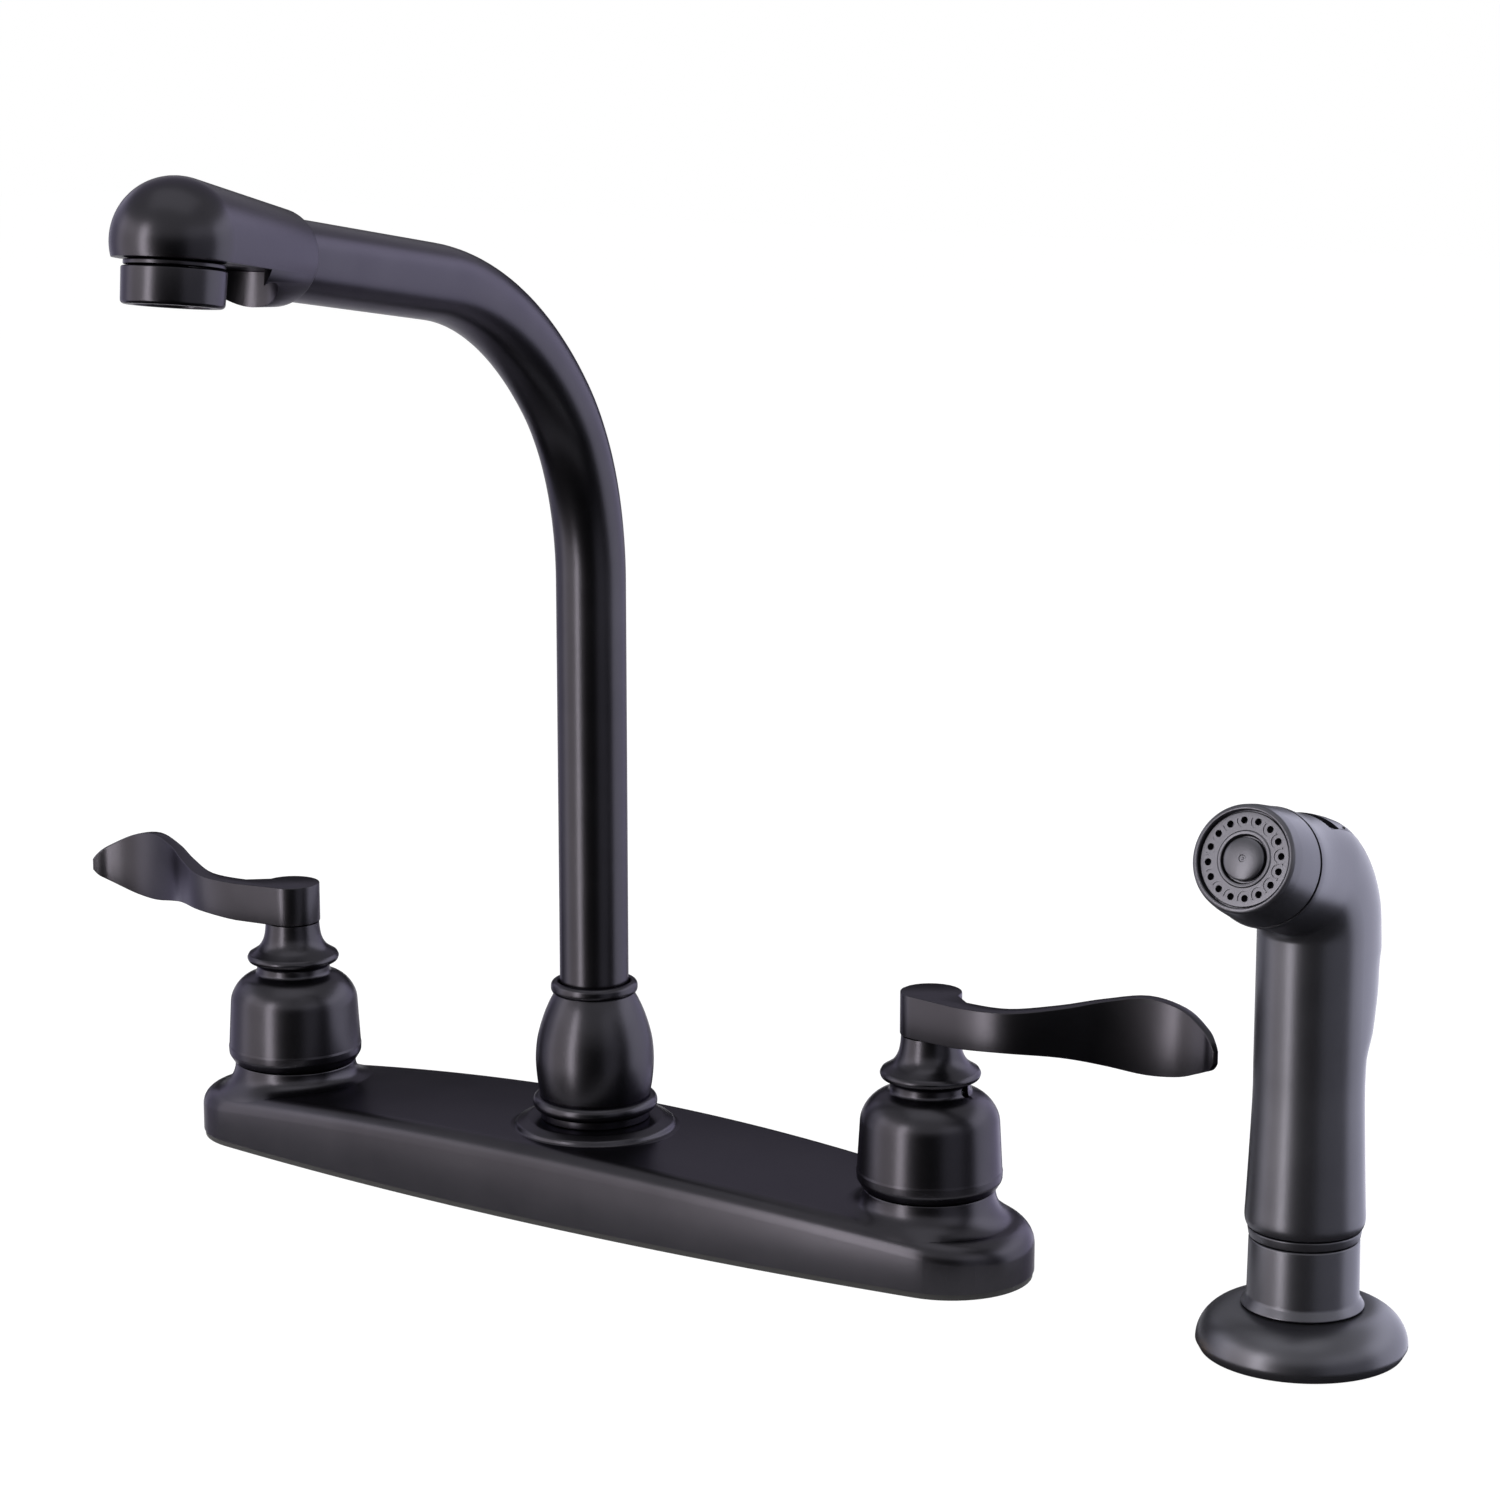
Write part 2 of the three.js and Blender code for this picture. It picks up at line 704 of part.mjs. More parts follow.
// Stations along the blade: the place as a share of its length, the middle line as a share of the bow
// to the front (negative) or to the back, and the edges as shares of the paddle's rise and drop.
const bladeStations = [
  [0.02, -0.6, 0, 0],
  [0.16, -1, 0, -0.1],
  [0.33, -0.93, 0.06, -0.28],
  [0.48, -0.13, 0.35, -0.06],
  [0.6, 0.51, 0.71, 0.5],
  [0.73, 0.92, 1, 1],
  [0.85, 1, 0.67, 0.78],
  [0.94, 0.74, 0.06, -0.03],
  [0.98, 0.5, -0.38, -0.56],
  [1, 0.37, -0.77, -1.13],
];

// The blade stands on edge: a smooth line through the stations gives its middle, its edges and thickness.
function leverBlade(side) {
  const line = (height) => new THREE.SplineCurve(
    bladeStations.map(([at, wave, rise, drop]) =>
      new THREE.Vector2(at * leverLength, height(wave, rise, drop))));
  const middle = line((wave) => wave * (wave < 0 ? leverWaveFront : leverWaveBack));
  const top = line((wave, rise) => hubTop + rise * paddleRise);
  const bottom = line((wave, rise, drop) => hubFoot - drop * paddleDrop);
  const steps = 2 * (bladeStations.length - 1);
  const rings = [];
  for (let k = 0; k <= steps; k += 1) {
    const share = k / steps;
    rings.push(bladeRing(middle, share, top.getPoint(share).y, bottom.getPoint(share).y, side));
  }
  return loft(side > 0 ? rings : rings.map((ring) => ring.reverse()));
}

function bladeThickness(along) {
  if (along < leverPaddleStart) {
    return THREE.MathUtils.lerp(leverRootThickness, leverPaddleThickness, along / leverPaddleStart);
  }
  const outer = (along - leverPaddleStart) / (1 - leverPaddleStart);
  return THREE.MathUtils.lerp(leverPaddleThickness, leverTipThickness, outer ** 3);
}

// One section of the blade: an upright slab across the middle line, with its four edges broken.
function bladeRing(middle, share, top, bottom, side) {
  const centre = middle.getPoint(share);
  const across = middle.getTangent(share).rotateAround(new THREE.Vector2(), Math.PI / 2);
  const half = bladeThickness(centre.x / leverLength) / 2;
  const corners = [
    [half - leverEdgeRound, top],
    [half, top - leverEdgeRound],
    [half, bottom + leverEdgeRound],
    [half - leverEdgeRound, bottom],
    [leverEdgeRound - half, bottom],
    [-half, bottom + leverEdgeRound],
    [-half, top - leverEdgeRound],
    [leverEdgeRound - half, top],
  ];
  return corners.map(([wide, height]) =>
    new THREE.Vector3(side * (centre.x - across.x * wide), centre.y - across.y * wide, height));
}

function lever(side) {
  const holeRadius = leverScrewRadius + gap;
  const holeTop = hubFoot + leverScrewReach + gap;
  const spigotFoot = collarTop - hubSpigotDepth + gap;
  const hub = turned(
    [
      [0, holeTop],
      [holeRadius, holeTop],
      [holeRadius, spigotFoot],
      [hubSpigotRadius, spigotFoot],
      [hubSpigotRadius, hubFoot],
      [hubRadius + hubTaper, hubFoot],
      [hubRadius, hubTop, leverEdgeRound],
      [0, hubTop],
    ],
  );
  const screwSpace = rod(holeRadius, spigotFoot, holeTop);
  return cut(join(hub, leverBlade(side)), screwSpace);
}

// ---- Centre body, nipple, diverter and bonnet ----
function centreBody() {
  const foot = gasketThickness;
  const footTop = gasketThickness + valveFlangeHeight;
  const body = turned([
    [nippleRadius + gap, foot],
    [postFootRadius, foot],
    [postFootRadius, footTop],
    [postRadius, footTop],
    [postRadius, postTop],
    [socketRadius, postTop],
    [socketRadius, socketFloor],
    [diverterRadius + gap, socketFloor],
    [diverterRadius + gap, diverterFloor],
    [nippleBore, diverterFloor],
    [nippleBore, foot + nippleSocket],
    [nippleRadius + gap, foot + nippleSocket],
  ]);
  return cut(body, crossSocket(1, postFootRadius), crossSocket(-1, postFootRadius));
}

function hoseNipple() {
  const threadTop = -nippleLength + nippleThreadLength;
  return turned(
    [
      [nippleBore, -nippleLength],
      [nippleThreadRadius, -nippleLength],
      [nippleThreadRadius, threadTop],
      [nippleRadius, threadTop + 1],
      [nippleRadius, gasketThickness + nippleSocket - gap],
      [nippleBore, gasketThickness + nippleSocket - gap],
    ],
  );
}

function diverter() {
  const foot = diverterFloor + gap;
  const top = socketFloor - gap;
  const waist = (foot + top) / 2;
  return turned([
    [0, foot],
    [diverterRadius, foot],
    [diverterRadius, waist - diverterWaistHeight / 2],
    [diverterRadius - diverterWaistDepth, waist],
    [diverterRadius, waist + diverterWaistHeight / 2],
    [diverterRadius, top],
    [0, top],
  ]);
}

const footFlangeFoot = postTop + gap;
const bushingFoot = footFlangeFoot + footFlangeHeight + gap;
const bonnetShoulder = bushingFoot + bushingThickness + gap;

// The bonnet's vase is a smooth curve through its waist, belly and top.
function bonnet() {
  const foot = spoutBossTop + gap;
  const ringFoot = foot + bonnetNeckHeight;
  const ringTop = ringFoot + bonnetRingHeight;
  const beadHeight = bonnetTop + bonnetBeadRadius;
  const bodyCurve = new THREE.SplineCurve([
    new THREE.Vector2(bonnetWaistRadius, ringTop),
    new THREE.Vector2((bonnetWaistRadius + 3 * bonnetBellyRadius) / 4, (ringTop + bonnetBellyHeight) / 2),
    new THREE.Vector2(bonnetBellyRadius, bonnetBellyHeight),
    new THREE.Vector2(
      (3 * bonnetBellyRadius + 2 * bonnetTopRadius) / 5,
      (bonnetBellyHeight + 1.35 * bonnetTop) / 2.35,
    ),
    new THREE.Vector2(bonnetTopRadius, bonnetTop),
  ]);
  const vase = bodyCurve.getPoints(7).map((p) => [p.x, p.y]);
  const tubeBore = tubeRadius + gap;
  const beadEdge = bonnetTopRadius + bonnetBeadReach;
  const bead = [
    [beadEdge, bonnetTop, bonnetBeadRadius * 0.9],
    [beadEdge, beadHeight + bonnetBeadRadius, bonnetBeadRadius * 0.9],
    [tubeBore, beadHeight + bonnetBeadRadius],
  ];
  return turned(
    [
      [postRadius + gap, foot],
      [bonnetNeckRadius, foot],
      [bonnetNeckRadius, ringFoot],
      [bonnetRingRadius, ringFoot + gap, 1.1],
      [bonnetRingRadius - gap, ringTop - gap, 1.1],
      ...vase,
      ...bead,
      [tubeBore, bonnetShoulder],
      [postRadius + gap, bonnetShoulder],
    ],
  );
}

// ---- Spout, modelled with its arm along +X and its riser on Z ----
class Bend extends THREE.Curve {
  constructor(centre, radius, from, to) {
    super();
    Object.assign(this, { centre, radius, from, to });
  }

  getPoint(t, target = new THREE.Vector3()) {
    const angle = THREE.MathUtils.lerp(this.from, this.to, t);
    return target.set(
      this.centre.x + this.radius * Math.cos(angle),
      0,
      this.centre.y + this.radius * Math.sin(angle),
    );
  }
}

const tubeFoot = footFlangeFoot + footFlangeHeight - footCupDepth + gap;
const lowerCentre = new THREE.Vector2(lowerBendRadius, riserTop);
const bendMiddle = new THREE.Vector2(
  lowerBendRadius * (1 - Math.cos(radians(lowerBendAngle))),
  riserTop + lowerBendRadius * Math.sin(radians(lowerBendAngle)),
);
const upperCentre = new THREE.Vector2(
  bendMiddle.x + upperBendRadius * Math.cos(radians(lowerBendAngle)),
  bendMiddle.y - upperBendRadius * Math.sin(radians(lowerBendAngle)),
);
const armTurn = radians(90 + armSlope);
const armStart = new THREE.Vector2(
  upperCentre.x + upperBendRadius * Math.cos(armTurn),
  upperCentre.y + upperBendRadius * Math.sin(armTurn),
);
const onArm = (distance) => new THREE.Vector3(
  armStart.x + distance * Math.cos(radians(armSlope)),
  0,
  armStart.y + distance * Math.sin(radians(armSlope)),
);

function spoutTube() {
  const path = new THREE.CurvePath();
  path.add(new THREE.LineCurve3(new THREE.Vector3(0, 0, tubeFoot), new THREE.Vector3(0, 0, riserTop)));
  path.add(new Bend(lowerCentre, lowerBendRadius, Math.PI, Math.PI - radians(lowerBendAngle)));
  path.add(new Bend(upperCentre, upperBendRadius, Math.PI - radians(lowerBendAngle), armTurn));
  path.add(new THREE.LineCurve3(onArm(0), onArm(armLength - headLength + headTubeDepth)));
  const section = new THREE.Shape().absarc(0, 0, tubeRadius, 0, 2 * Math.PI);
  section.holes.push(new THREE.Path().absarc(0, 0, tubeRadius - tubeWall, 0, 2 * Math.PI, true));
  return new THREE.ExtrudeGeometry(section, { steps: 20, extrudePath: path, curveSegments: 6 });
}

function spoutFoot() {
  const spigotRadius = socketRadius - gap;
  const foot = postTop - footLength;
  const flangeHeight = footFlangeFoot + footFlangeHeight;
  const groove = (height) => [
    [spigotRadius, height - sealGrooveWidth / 2],
    [spigotRadius - sealGrooveDepth, height - sealGrooveWidth / 2],
    [spigotRadius - sealGrooveDepth, height + sealGrooveWidth / 2],
    [spigotRadius, height + sealGrooveWidth / 2],
  ];
  return turned([
    [footBore, foot],
    [spigotRadius, foot],
    ...groove(sealHeight(0)),
    ...groove(sealHeight(1)),
    [spigotRadius, footFlangeFoot],
    [footFlangeRadius, footFlangeFoot],
    [footFlangeRadius, flangeHeight],
    [tubeRadius + gap, flangeHeight],
    [tubeRadius + gap, flangeHeight - footCupDepth],
    [footBore, flangeHeight - footCupDepth],
  ]);
}

function sealHeight(index) {
  return postTop - footLength + (footLength * (index + 1)) / 3;
}

function sealRing(index) {
  const middle = socketRadius - sealClearance - sealRingRadius;
  const ring = new THREE.TorusGeometry(middle, sealRingRadius, sealRingSides, mostSides);
  return ring.translate(0, 0, sealHeight(index));
}

function spoutBushing() {
  return sleeve(tubeRadius + gap, postRadius - gap, bushingFoot, bushingFoot + bushingThickness);
}

// ---- Head and aerator, modelled with the arm along +X through the origin and the aerator's axis on Z ----
// The head is a cone that runs smoothly into a dome centred on the aerator's axis.
function spoutHead() {
  const taper = Math.asin((headDomeRadius - headRearRadius) / headLength);
  const points = [[0, -headLength], [headRearRadius, -headLength, headRimRound]];
  const domeSteps = 9;
  for (let k = 0; k <= domeSteps; k += 1) {
    const turn = Math.PI / 2 + taper - (k / domeSteps) * (Math.PI / 2 + taper);
    const radius = k === domeSteps ? 0 : headDomeRadius * Math.sin(turn);
    points.push([radius, headDomeRadius * Math.cos(turn)]);
  }
  const blank = turned(points).rotateY(Math.PI / 2);
  const reach = 2 * headDomeRadius;
  const notch = block(headNotch + reach, 2 * reach, -reach, -headFloor)
    .translate((reach - headNotch) / 2, 0, 0);
  const bore = rod(tubeRadius + gap, -headLength - gap, headTubeDepth - headLength + gap)
    .rotateY(Math.PI / 2);
  const waterway = rod(tubeRadius - tubeWall, -headLength, gap).rotateY(Math.PI / 2)
    .translate(0, 0, (headDomeRadius - headRearRadius) / 2 + 1);
  const outlet = rod(aeratorThreadRadius + gap, -headDomeRadius, aeratorThreadLength - headFloor);
  return cut(blank, notch, bore, waterway, outlet);
}

const aeratorRingTop = -headFloor - gap;
const aeratorRingFoot = aeratorRingTop - aeratorRingHeight;
const housingTop = aeratorRingFoot - gap;
const housingFoot = housingTop - aeratorHeight;
const innerRadius = aeratorRadius - aeratorWall;
const screenFoot = housingFoot + aeratorLip + gap;
const sleeveFoot = screenFoot + screenThickness + sealThickness + 2 * gap;

function aeratorRing() {
  return turned([
    [aeratorBore, sleeveFoot],
    [innerRadius - gap, sleeveFoot],
    [innerRadius - gap, aeratorRingFoot],
    [aeratorRingRadius, aeratorRingFoot],
    [aeratorRingRadius, aeratorRingTop],
    [aeratorThreadRadius, aeratorRingTop],
    [aeratorThreadRadius, aeratorThreadLength - headFloor - 2 * gap],
    [aeratorBore, aeratorThreadLength - headFloor - 2 * gap],
  ]);
}

function aeratorHousing() {
  return turned(
    [
      [innerRadius - aeratorLip, housingFoot],
      [aeratorRadius, housingFoot, aeratorRound],
      [aeratorRadius, housingTop],
      [innerRadius, housingTop],
      [innerRadius, housingFoot + aeratorLip],
      [innerRadius - aeratorLip, housingFoot + aeratorLip],
    ],
  );
}

function aeratorScreen() {
  const radius = innerRadius - gap;
  const holes = [];
  [4, 8].forEach((count, circle) => {
    for (let k = 0; k < count; k += 1) {
      holes.push(
        rod(screenHole, screenFoot - gap, screenFoot + screenThickness + gap, 4)
          .translate(((circle + 1) * radius) / 3, 0, 0)
          .rotateZ((k / count) * 2 * Math.PI),
      );
    }
  });
  return cut(rod(radius, screenFoot, screenFoot + screenThickness), ...holes);
}

function aeratorWasher() {
  const foot = screenFoot + screenThickness + gap;
  return sleeve(aeratorBore, innerRadius - gap, foot, foot + sealThickness);
}

// ---- Sprayer's flange, guide, washer and nut ----
function sprayFlange() {
  const holeRadius = guideShankRadius + gap;
  return turned(
    [
      [flangeRadius - flangeWall, 0],
      [flangeRadius - 0.8, 0],
      [flangeRadius, flangeRimHeight, 1],
      [flangeRadius - 2.6, flangeRimHeight + 5.2, 4],
      [guideFootRadius + 1, flangeTop],
      [holeRadius, flangeTop],
      [holeRadius, flangeTop - flangeWall],
      [guideFootRadius + 1, flangeTop - flangeWall],
      [flangeRadius - 2 * flangeWall, flangeRimHeight + 1],
    ],
  );
}

function sprayGuide() {
  const footHeight = flangeTop + gap;
  return turned(
    [
      [guideBore, -guideShankLength],
      [guideShankRadius, -guideShankLength],
      [guideShankRadius, footHeight],
      [guideFootRadius, footHeight],
      [guideRadius, footHeight + guideFootHeight],
      [guideRadius, guideTop],
      [guideBore, guideTop],
    ],
  );
}

// ---- Sprayer, modelled on its own axis with its nozzle towards -Y ----
const bandFoot = guideTop + gap;
const wandFoot = bandFoot + wandBandHeight + gap;
const bendCentre = new THREE.Vector3(0, -elbowRadius, elbowStart);
const bendAngle = radians(90 - nozzleTilt);
const nozzleDirection = new THREE.Vector3(0, -Math.cos(radians(nozzleTilt)), Math.sin(radians(nozzleTilt)));

// A point of the wand's middle line and the direction that points to its back there.
function wandStation(travel) {
  const bend = elbowRadius * bendAngle;
  const angle = THREE.MathUtils.clamp(travel / elbowRadius, 0, bendAngle);
  const back = new THREE.Vector3(0, Math.cos(angle), Math.sin(angle));
  const centre = back.clone().multiplyScalar(elbowRadius).add(bendCentre);
  if (travel < 0) centre.z += travel;
  if (travel > bend) centre.addScaledVector(nozzleDirection, travel - bend);
  return { centre, back };
}

// One section: round at the front, and at the back a fuller curve that reaches the given depth.
function wandRing(travel, radius, depth) {
  const { centre, back } = wandStation(travel);
  const ring = [];
  const steps = mostSides;
  for (let k = 0; k < steps; k += 1) {
    const angle = (k / steps) * 2 * Math.PI;
    const rear = Math.sin(angle) > 0 && depth > radius;
    const power = rear ? wandBackPower : 1;
    const across = Math.sign(Math.cos(angle)) * Math.abs(Math.cos(angle)) ** power * radius;
    const deep = Math.sign(Math.sin(angle)) * Math.abs(Math.sin(angle)) ** power * (rear ? depth : radius);
    ring.push(centre.clone().addScaledVector(back, deep).add(new THREE.Vector3(across, 0, 0)));
  }
  return ring;
}

// Sections from the foot to the joint: travel, radius, and how far the back reaches.
function wandShell() {
  const bend = elbowRadius * bendAngle;
  const below = (height) => height - elbowStart;
  const onHump = (share) => below(THREE.MathUtils.lerp(humpFoot, humpTop, share));
  const bulge = (share) => THREE.MathUtils.lerp(wandRadius, humpBack, share);
  const sections = [
    [below(wandFoot), wandFootRadius - wandFootChamfer, 0],
    [below(wandFoot + 2 * wandFootChamfer), wandFootRadius, 0],
    [below(wandTaperTop), wandRadius, 0],
    [onHump(0), wandRadius, wandRadius + gap],
    [onHump(0.3), wandRadius, bulge(0.5)],
    [onHump(0.65), wandRadius, bulge(0.88)],
    [onHump(1), wandRadius, humpBack],
    [below(lipHeight - lipRise), wandRadius, (humpBack + lipBack) / 2],
    [below(lipHeight), wandRadius, lipBack],
    [0, wandRadius, humpBack + gap],
    [bend * 0.18, wandRadius, bulge(0.84)],
    [bend * 0.35, wandRadius, (humpBack + elbowBack) / 2],
    [bend * 0.6, wandRadius, elbowBack + gap],
    [bend, wandRadius, elbowBack - 2 * gap],
    [bend + nozzleReach / 2, jointRadius - gap, jointRadius],
    [bend + nozzleReach, jointRadius, jointRadius],
  ];
  return loft(sections.map((section) => wandRing(...section)));
}

const bendPoint = (radius, degrees) => [
  bendCentre.y + radius * Math.cos(radians(degrees)),
  bendCentre.z + radius * Math.sin(radians(degrees)),
];

const [pinBack, pinHeight] = bendPoint(pocketFloorRadius + pinClearance + lugRadius, pinAngle);

// The trigger's tail and the pocket below it part along a plane that slopes down and inwards.
const partingHeight = pocketFoot - pocketFloorBack - 4; // height of that plane at Y = 0

function pocket() {
  const outside = 2 * lipBack;
  return sideways(
    [
      [pocketFront, elbowStart + outside],
      [pocketFront, bendPoint(pocketFloorRadius, 75)[1]],
      bendPoint(pocketFloorRadius, 72),
      bendPoint(pocketFloorRadius, 50),
      bendPoint(pocketFloorRadius, 28),
      [pocketFloorBack, chamberTop + 1],
      [pocketFloorBack, pocketFoot],
      [pocketFloorBack + 4, pocketFoot],
      [outside, outside + partingHeight],
      [outside, elbowStart + outside],
    ],
    triggerWidth + 2 * gap,
  );
}

function trigger() {
  const outside = 2 * lipBack;
  const slit = 0.45; // between the tail and the housing below it
  const inner = humpBack - triggerThickness;
  const blank = sideways(
    [
      [pocketFront + gap, elbowStart + outside],
      [pocketFront + gap, bendPoint(elbowRadius + elbowBack - triggerThickness, 80)[1]],
      bendPoint(elbowRadius + elbowBack - triggerThickness, 68),
      bendPoint(elbowRadius + elbowBack - triggerThickness, 48),
      bendPoint(elbowRadius + elbowBack - triggerThickness + 1, 30),
      [inner - 1.5, elbowStart + 2],
      [inner - 1.8, plungerHeight - 4],
      [inner - 3.8, inner - 3.8 + partingHeight + slit * Math.SQRT2],
      [outside, outside + partingHeight + slit * Math.SQRT2],
      [outside, elbowStart + outside],
    ],
    triggerWidth,
  );
  const lug = rod(lugRadius, -triggerWidth / 2, triggerWidth / 2)
    .rotateY(Math.PI / 2).translate(0, pinBack, pinHeight);
  const web = sideways(
    [
      [pinBack - lugRadius * 0.9, pinHeight],
      [pinBack + lugRadius * 0.9, pinHeight],
      bendPoint(elbowRadius + elbowBack - triggerThickness / 2, 48),
      bendPoint(elbowRadius + elbowBack - triggerThickness / 2, 62),
    ],
    triggerWidth,
  );
  const pinHole = rod(pinRadius + gap, -triggerWidth, triggerWidth)
    .rotateY(Math.PI / 2).translate(0, pinBack, pinHeight);
  const springSlot = block(
    2 * springTurnsWidth() + 2 * gap,
    4 * springCoil,
    -2 * springCoil,
    springCoil + 2 * springWire + gap,
  ).translate(0, pinBack + springCoil, pinHeight);
  return cut(join(overlapOf(wandShell(), blank), lug, web), pinHole, springSlot);
}

const springTurnsWidth = () => springTurns * springWire * 1.3 + springWire;

function triggerPin() {
  return rod(pinRadius, -pinLength / 2, pinLength / 2)
    .rotateY(Math.PI / 2).translate(0, pinBack, pinHeight);
}

// A torsion spring round the pin, one leg on the pocket's floor and one behind the trigger.
class TorsionWire extends THREE.Curve {
  getPoint(t, target = new THREE.Vector3()) {
    const legShare = 0.12;
    const along = THREE.MathUtils.clamp((t - legShare) / (1 - 2 * legShare), 0, 1);
    const turn = along * 2 * Math.PI * (springTurns + 0.2);
    const start = -Math.PI * 0.35;
    const angle = start - turn;
    const pitch = springTurnsWidth();
    target.set((along - 0.5) * 2 * pitch * 0.7, springCoil * Math.cos(angle), springCoil * Math.sin(angle));
    const leg = Math.max(0, legShare - t, t - 1 + legShare) * (springLeg / legShare);
    const sense = t < 0.5 ? 1 : -1;
    target.y -= sense * leg * Math.sin(angle);
    target.z += sense * leg * Math.cos(angle);
    return target;
  }
}

function triggerSpring() {
  const section = new THREE.Shape().absarc(0, 0, springWire, 0, 2 * Math.PI);
  const wire = new THREE.ExtrudeGeometry(section, {
    steps: 24,
    extrudePath: new TorsionWire(),
    curveSegments: 2,
  });
  return wire.translate(0, pinBack, pinHeight);
}

// Moves a body turned on +Z so that its axis is the nozzle's and its zero lies on the joint.
function onNozzle(geometry) {
  const joint = wandStation(elbowRadius * bendAngle + nozzleReach).centre;
  return geometry.rotateX(Math.PI / 2 - radians(nozzleTilt)).translate(joint.x, joint.y, joint.z);
}

function sprayBody() {
  const passage = new Bend(new THREE.Vector2(0, 0), elbowRadius, 0, bendAngle);
  const duct = new THREE.ExtrudeGeometry(new THREE.Shape().absarc(0, 0, passageRadius, 0, 2 * Math.PI), {
    steps: 5,
    extrudePath: passage,
    curveSegments: 4,
  }).rotateZ(Math.PI / 2).translate(bendCentre.x, bendCentre.y, bendCentre.z);
  const threadTop = wandFoot + wandThreadLength + gap;
  const bore = rod(wandThreadRadius + gap, wandFoot - gap, threadTop, mostSides);
  const chamber = rod(chamberRadius, wandFoot, chamberTop);
  const nozzleBore = onNozzle(rod(nozzleThreadRadius + gap, -nozzleThreadLength - gap, gap, mostSides));
  const nozzleDuct = onNozzle(rod(passageRadius, -nozzleReach - 1, 0, 8));
  const pinHole = rod(pinRadius + gap / 2, -pinLength / 2 - gap, pinLength / 2 + gap)
    .rotateY(Math.PI / 2).translate(0, pinBack, pinHeight);
  const plungerHole = rod(plungerRadius + gap, 0, pocketFloorBack + gap)
    .rotateX(-Math.PI / 2).translate(0, 0, plungerHeight);
  return cut(wandShell(), bore, chamber, duct, nozzleBore, nozzleDuct, pocket(), pinHole, plungerHole);
}

function hoseCollar() {
  return turned(
    [
      [hoseBore, bandFoot - wandSpigotLength],
      [wandSpigotRadius, bandFoot - wandSpigotLength],
      [wandSpigotRadius, bandFoot],
      [wandBandRadius - wandBandFlare, bandFoot],
      [wandBandRadius, bandFoot + wandBandHeight],
      [wandThreadRadius, bandFoot + wandBandHeight],
      [wandThreadRadius, wandFoot + wandThreadLength],
      [hoseBore, wandFoot + wandThreadLength],
    ],
  );
}

function hoseTail() {
  const top = bandFoot + gap;
  const foot = top - tailLength;
  return turned(
    [
      [tailBore, foot],
      [tailRadius - 0.8, foot],
      [tailRadius - 0.2, foot + 3],
      [tailRadius - 0.8, foot + 3.2],
      [tailRadius - 0.2, foot + 6.2],
      [tailRadius - 0.8, foot + 6.4],
      [tailRadius, top - 5],
      [tailRadius, top],
      [tailBore, top],
    ],
  );
}

function nozzleCollar() {
  const innerFace = nozzleLength - faceRecess;
  const seatRadius = nozzleRimRadius - nozzleRimWidth;
  const faceSeat = innerFace - faceThickness - gap;
  return onNozzle(turned(
    [
      [nozzleThreadRadius - 1.8, -nozzleThreadLength],
      [nozzleThreadRadius, -nozzleThreadLength],
      [nozzleThreadRadius, gap],
      [jointRadius - gap, gap],
      [nozzleRimRadius + nozzleRimWidth / 2, nozzleLength - nozzleShoulder, nozzleShoulder],
      [nozzleRimRadius, nozzleLength, nozzleRimWidth],
      [seatRadius, nozzleLength],
      [seatRadius, faceSeat],
      [nozzleThreadRadius - 1.8, faceSeat],
    ],
  ));
}

// The face carries the ring of jets and a raised ring round the centre button.
function nozzleFace() {
  const top = nozzleLength - faceRecess;
  const foot = top - faceThickness;
  const radius = nozzleRimRadius - nozzleRimWidth - gap;
  const face = turned(
    [
      [0, foot],
      [radius, foot],
      [radius, top, 0.4],
      [buttonRing + 0.7, top],
      [buttonRing + 0.4, top + 0.5],
      [buttonRadius + gap, top + 0.5],
      [buttonRadius + gap, top - 1],
      [0, top - 1],
    ],
  );
  const jets = Array.from({ length: jetCount }, (_, k) =>
    rod(jetRadius, foot - gap, top + gap, 4)
      .translate(jetCircle, 0, 0)
      .rotateZ(((k + 0.5) / jetCount) * 2 * Math.PI));
  return onNozzle(cut(face, ...jets));
}

function nozzleButton() {
  const foot = nozzleLength - faceRecess - 1 + gap;
  return onNozzle(turned([
    [0, foot],
    [buttonRadius, foot],
    [buttonRadius, foot + 0.9],
    [buttonRadius * 0.5, foot + buttonHeight * 0.85, 5],
    [0, foot + buttonHeight],
  ]));
}

const plungerTip = humpBack - triggerThickness - 1.8 - 2 * gap;

function plunger() {
  const headFront = -0.5;
  return turned(
    [
      [0, headFront],
      [plungerHeadRadius, headFront, 0.3],
      [plungerHeadRadius, headFront + plungerHeadThickness],
      [plungerRadius, headFront + plungerHeadThickness],
      [plungerRadius, plungerTip, 0.5],
      [0, plungerTip],
    ],
  ).rotateX(-Math.PI / 2).translate(0, 0, plungerHeight);
}

function plungerSeal() {
  const foot = plungerHeadThickness - 0.5 + gap / 2;
  return sleeve(plungerRadius + gap / 2, plungerHeadRadius, foot, foot + sealThickness)
    .rotateX(-Math.PI / 2).translate(0, 0, plungerHeight);
}

// ---- Assembly ----
const faucet = new THREE.Group();
faucet.add(
  piece("deck_plate", deckPlate(), bronze),
  piece("deck_gasket", deckGasket(), rubber),
  piece("centre_body", centreBody(), brass),
  piece("hose_nipple", hoseNipple(), brass),
  piece("diverter_valve", diverter(), whitePlastic),
  piece("spout_bonnet", bonnet(), bronze),
);

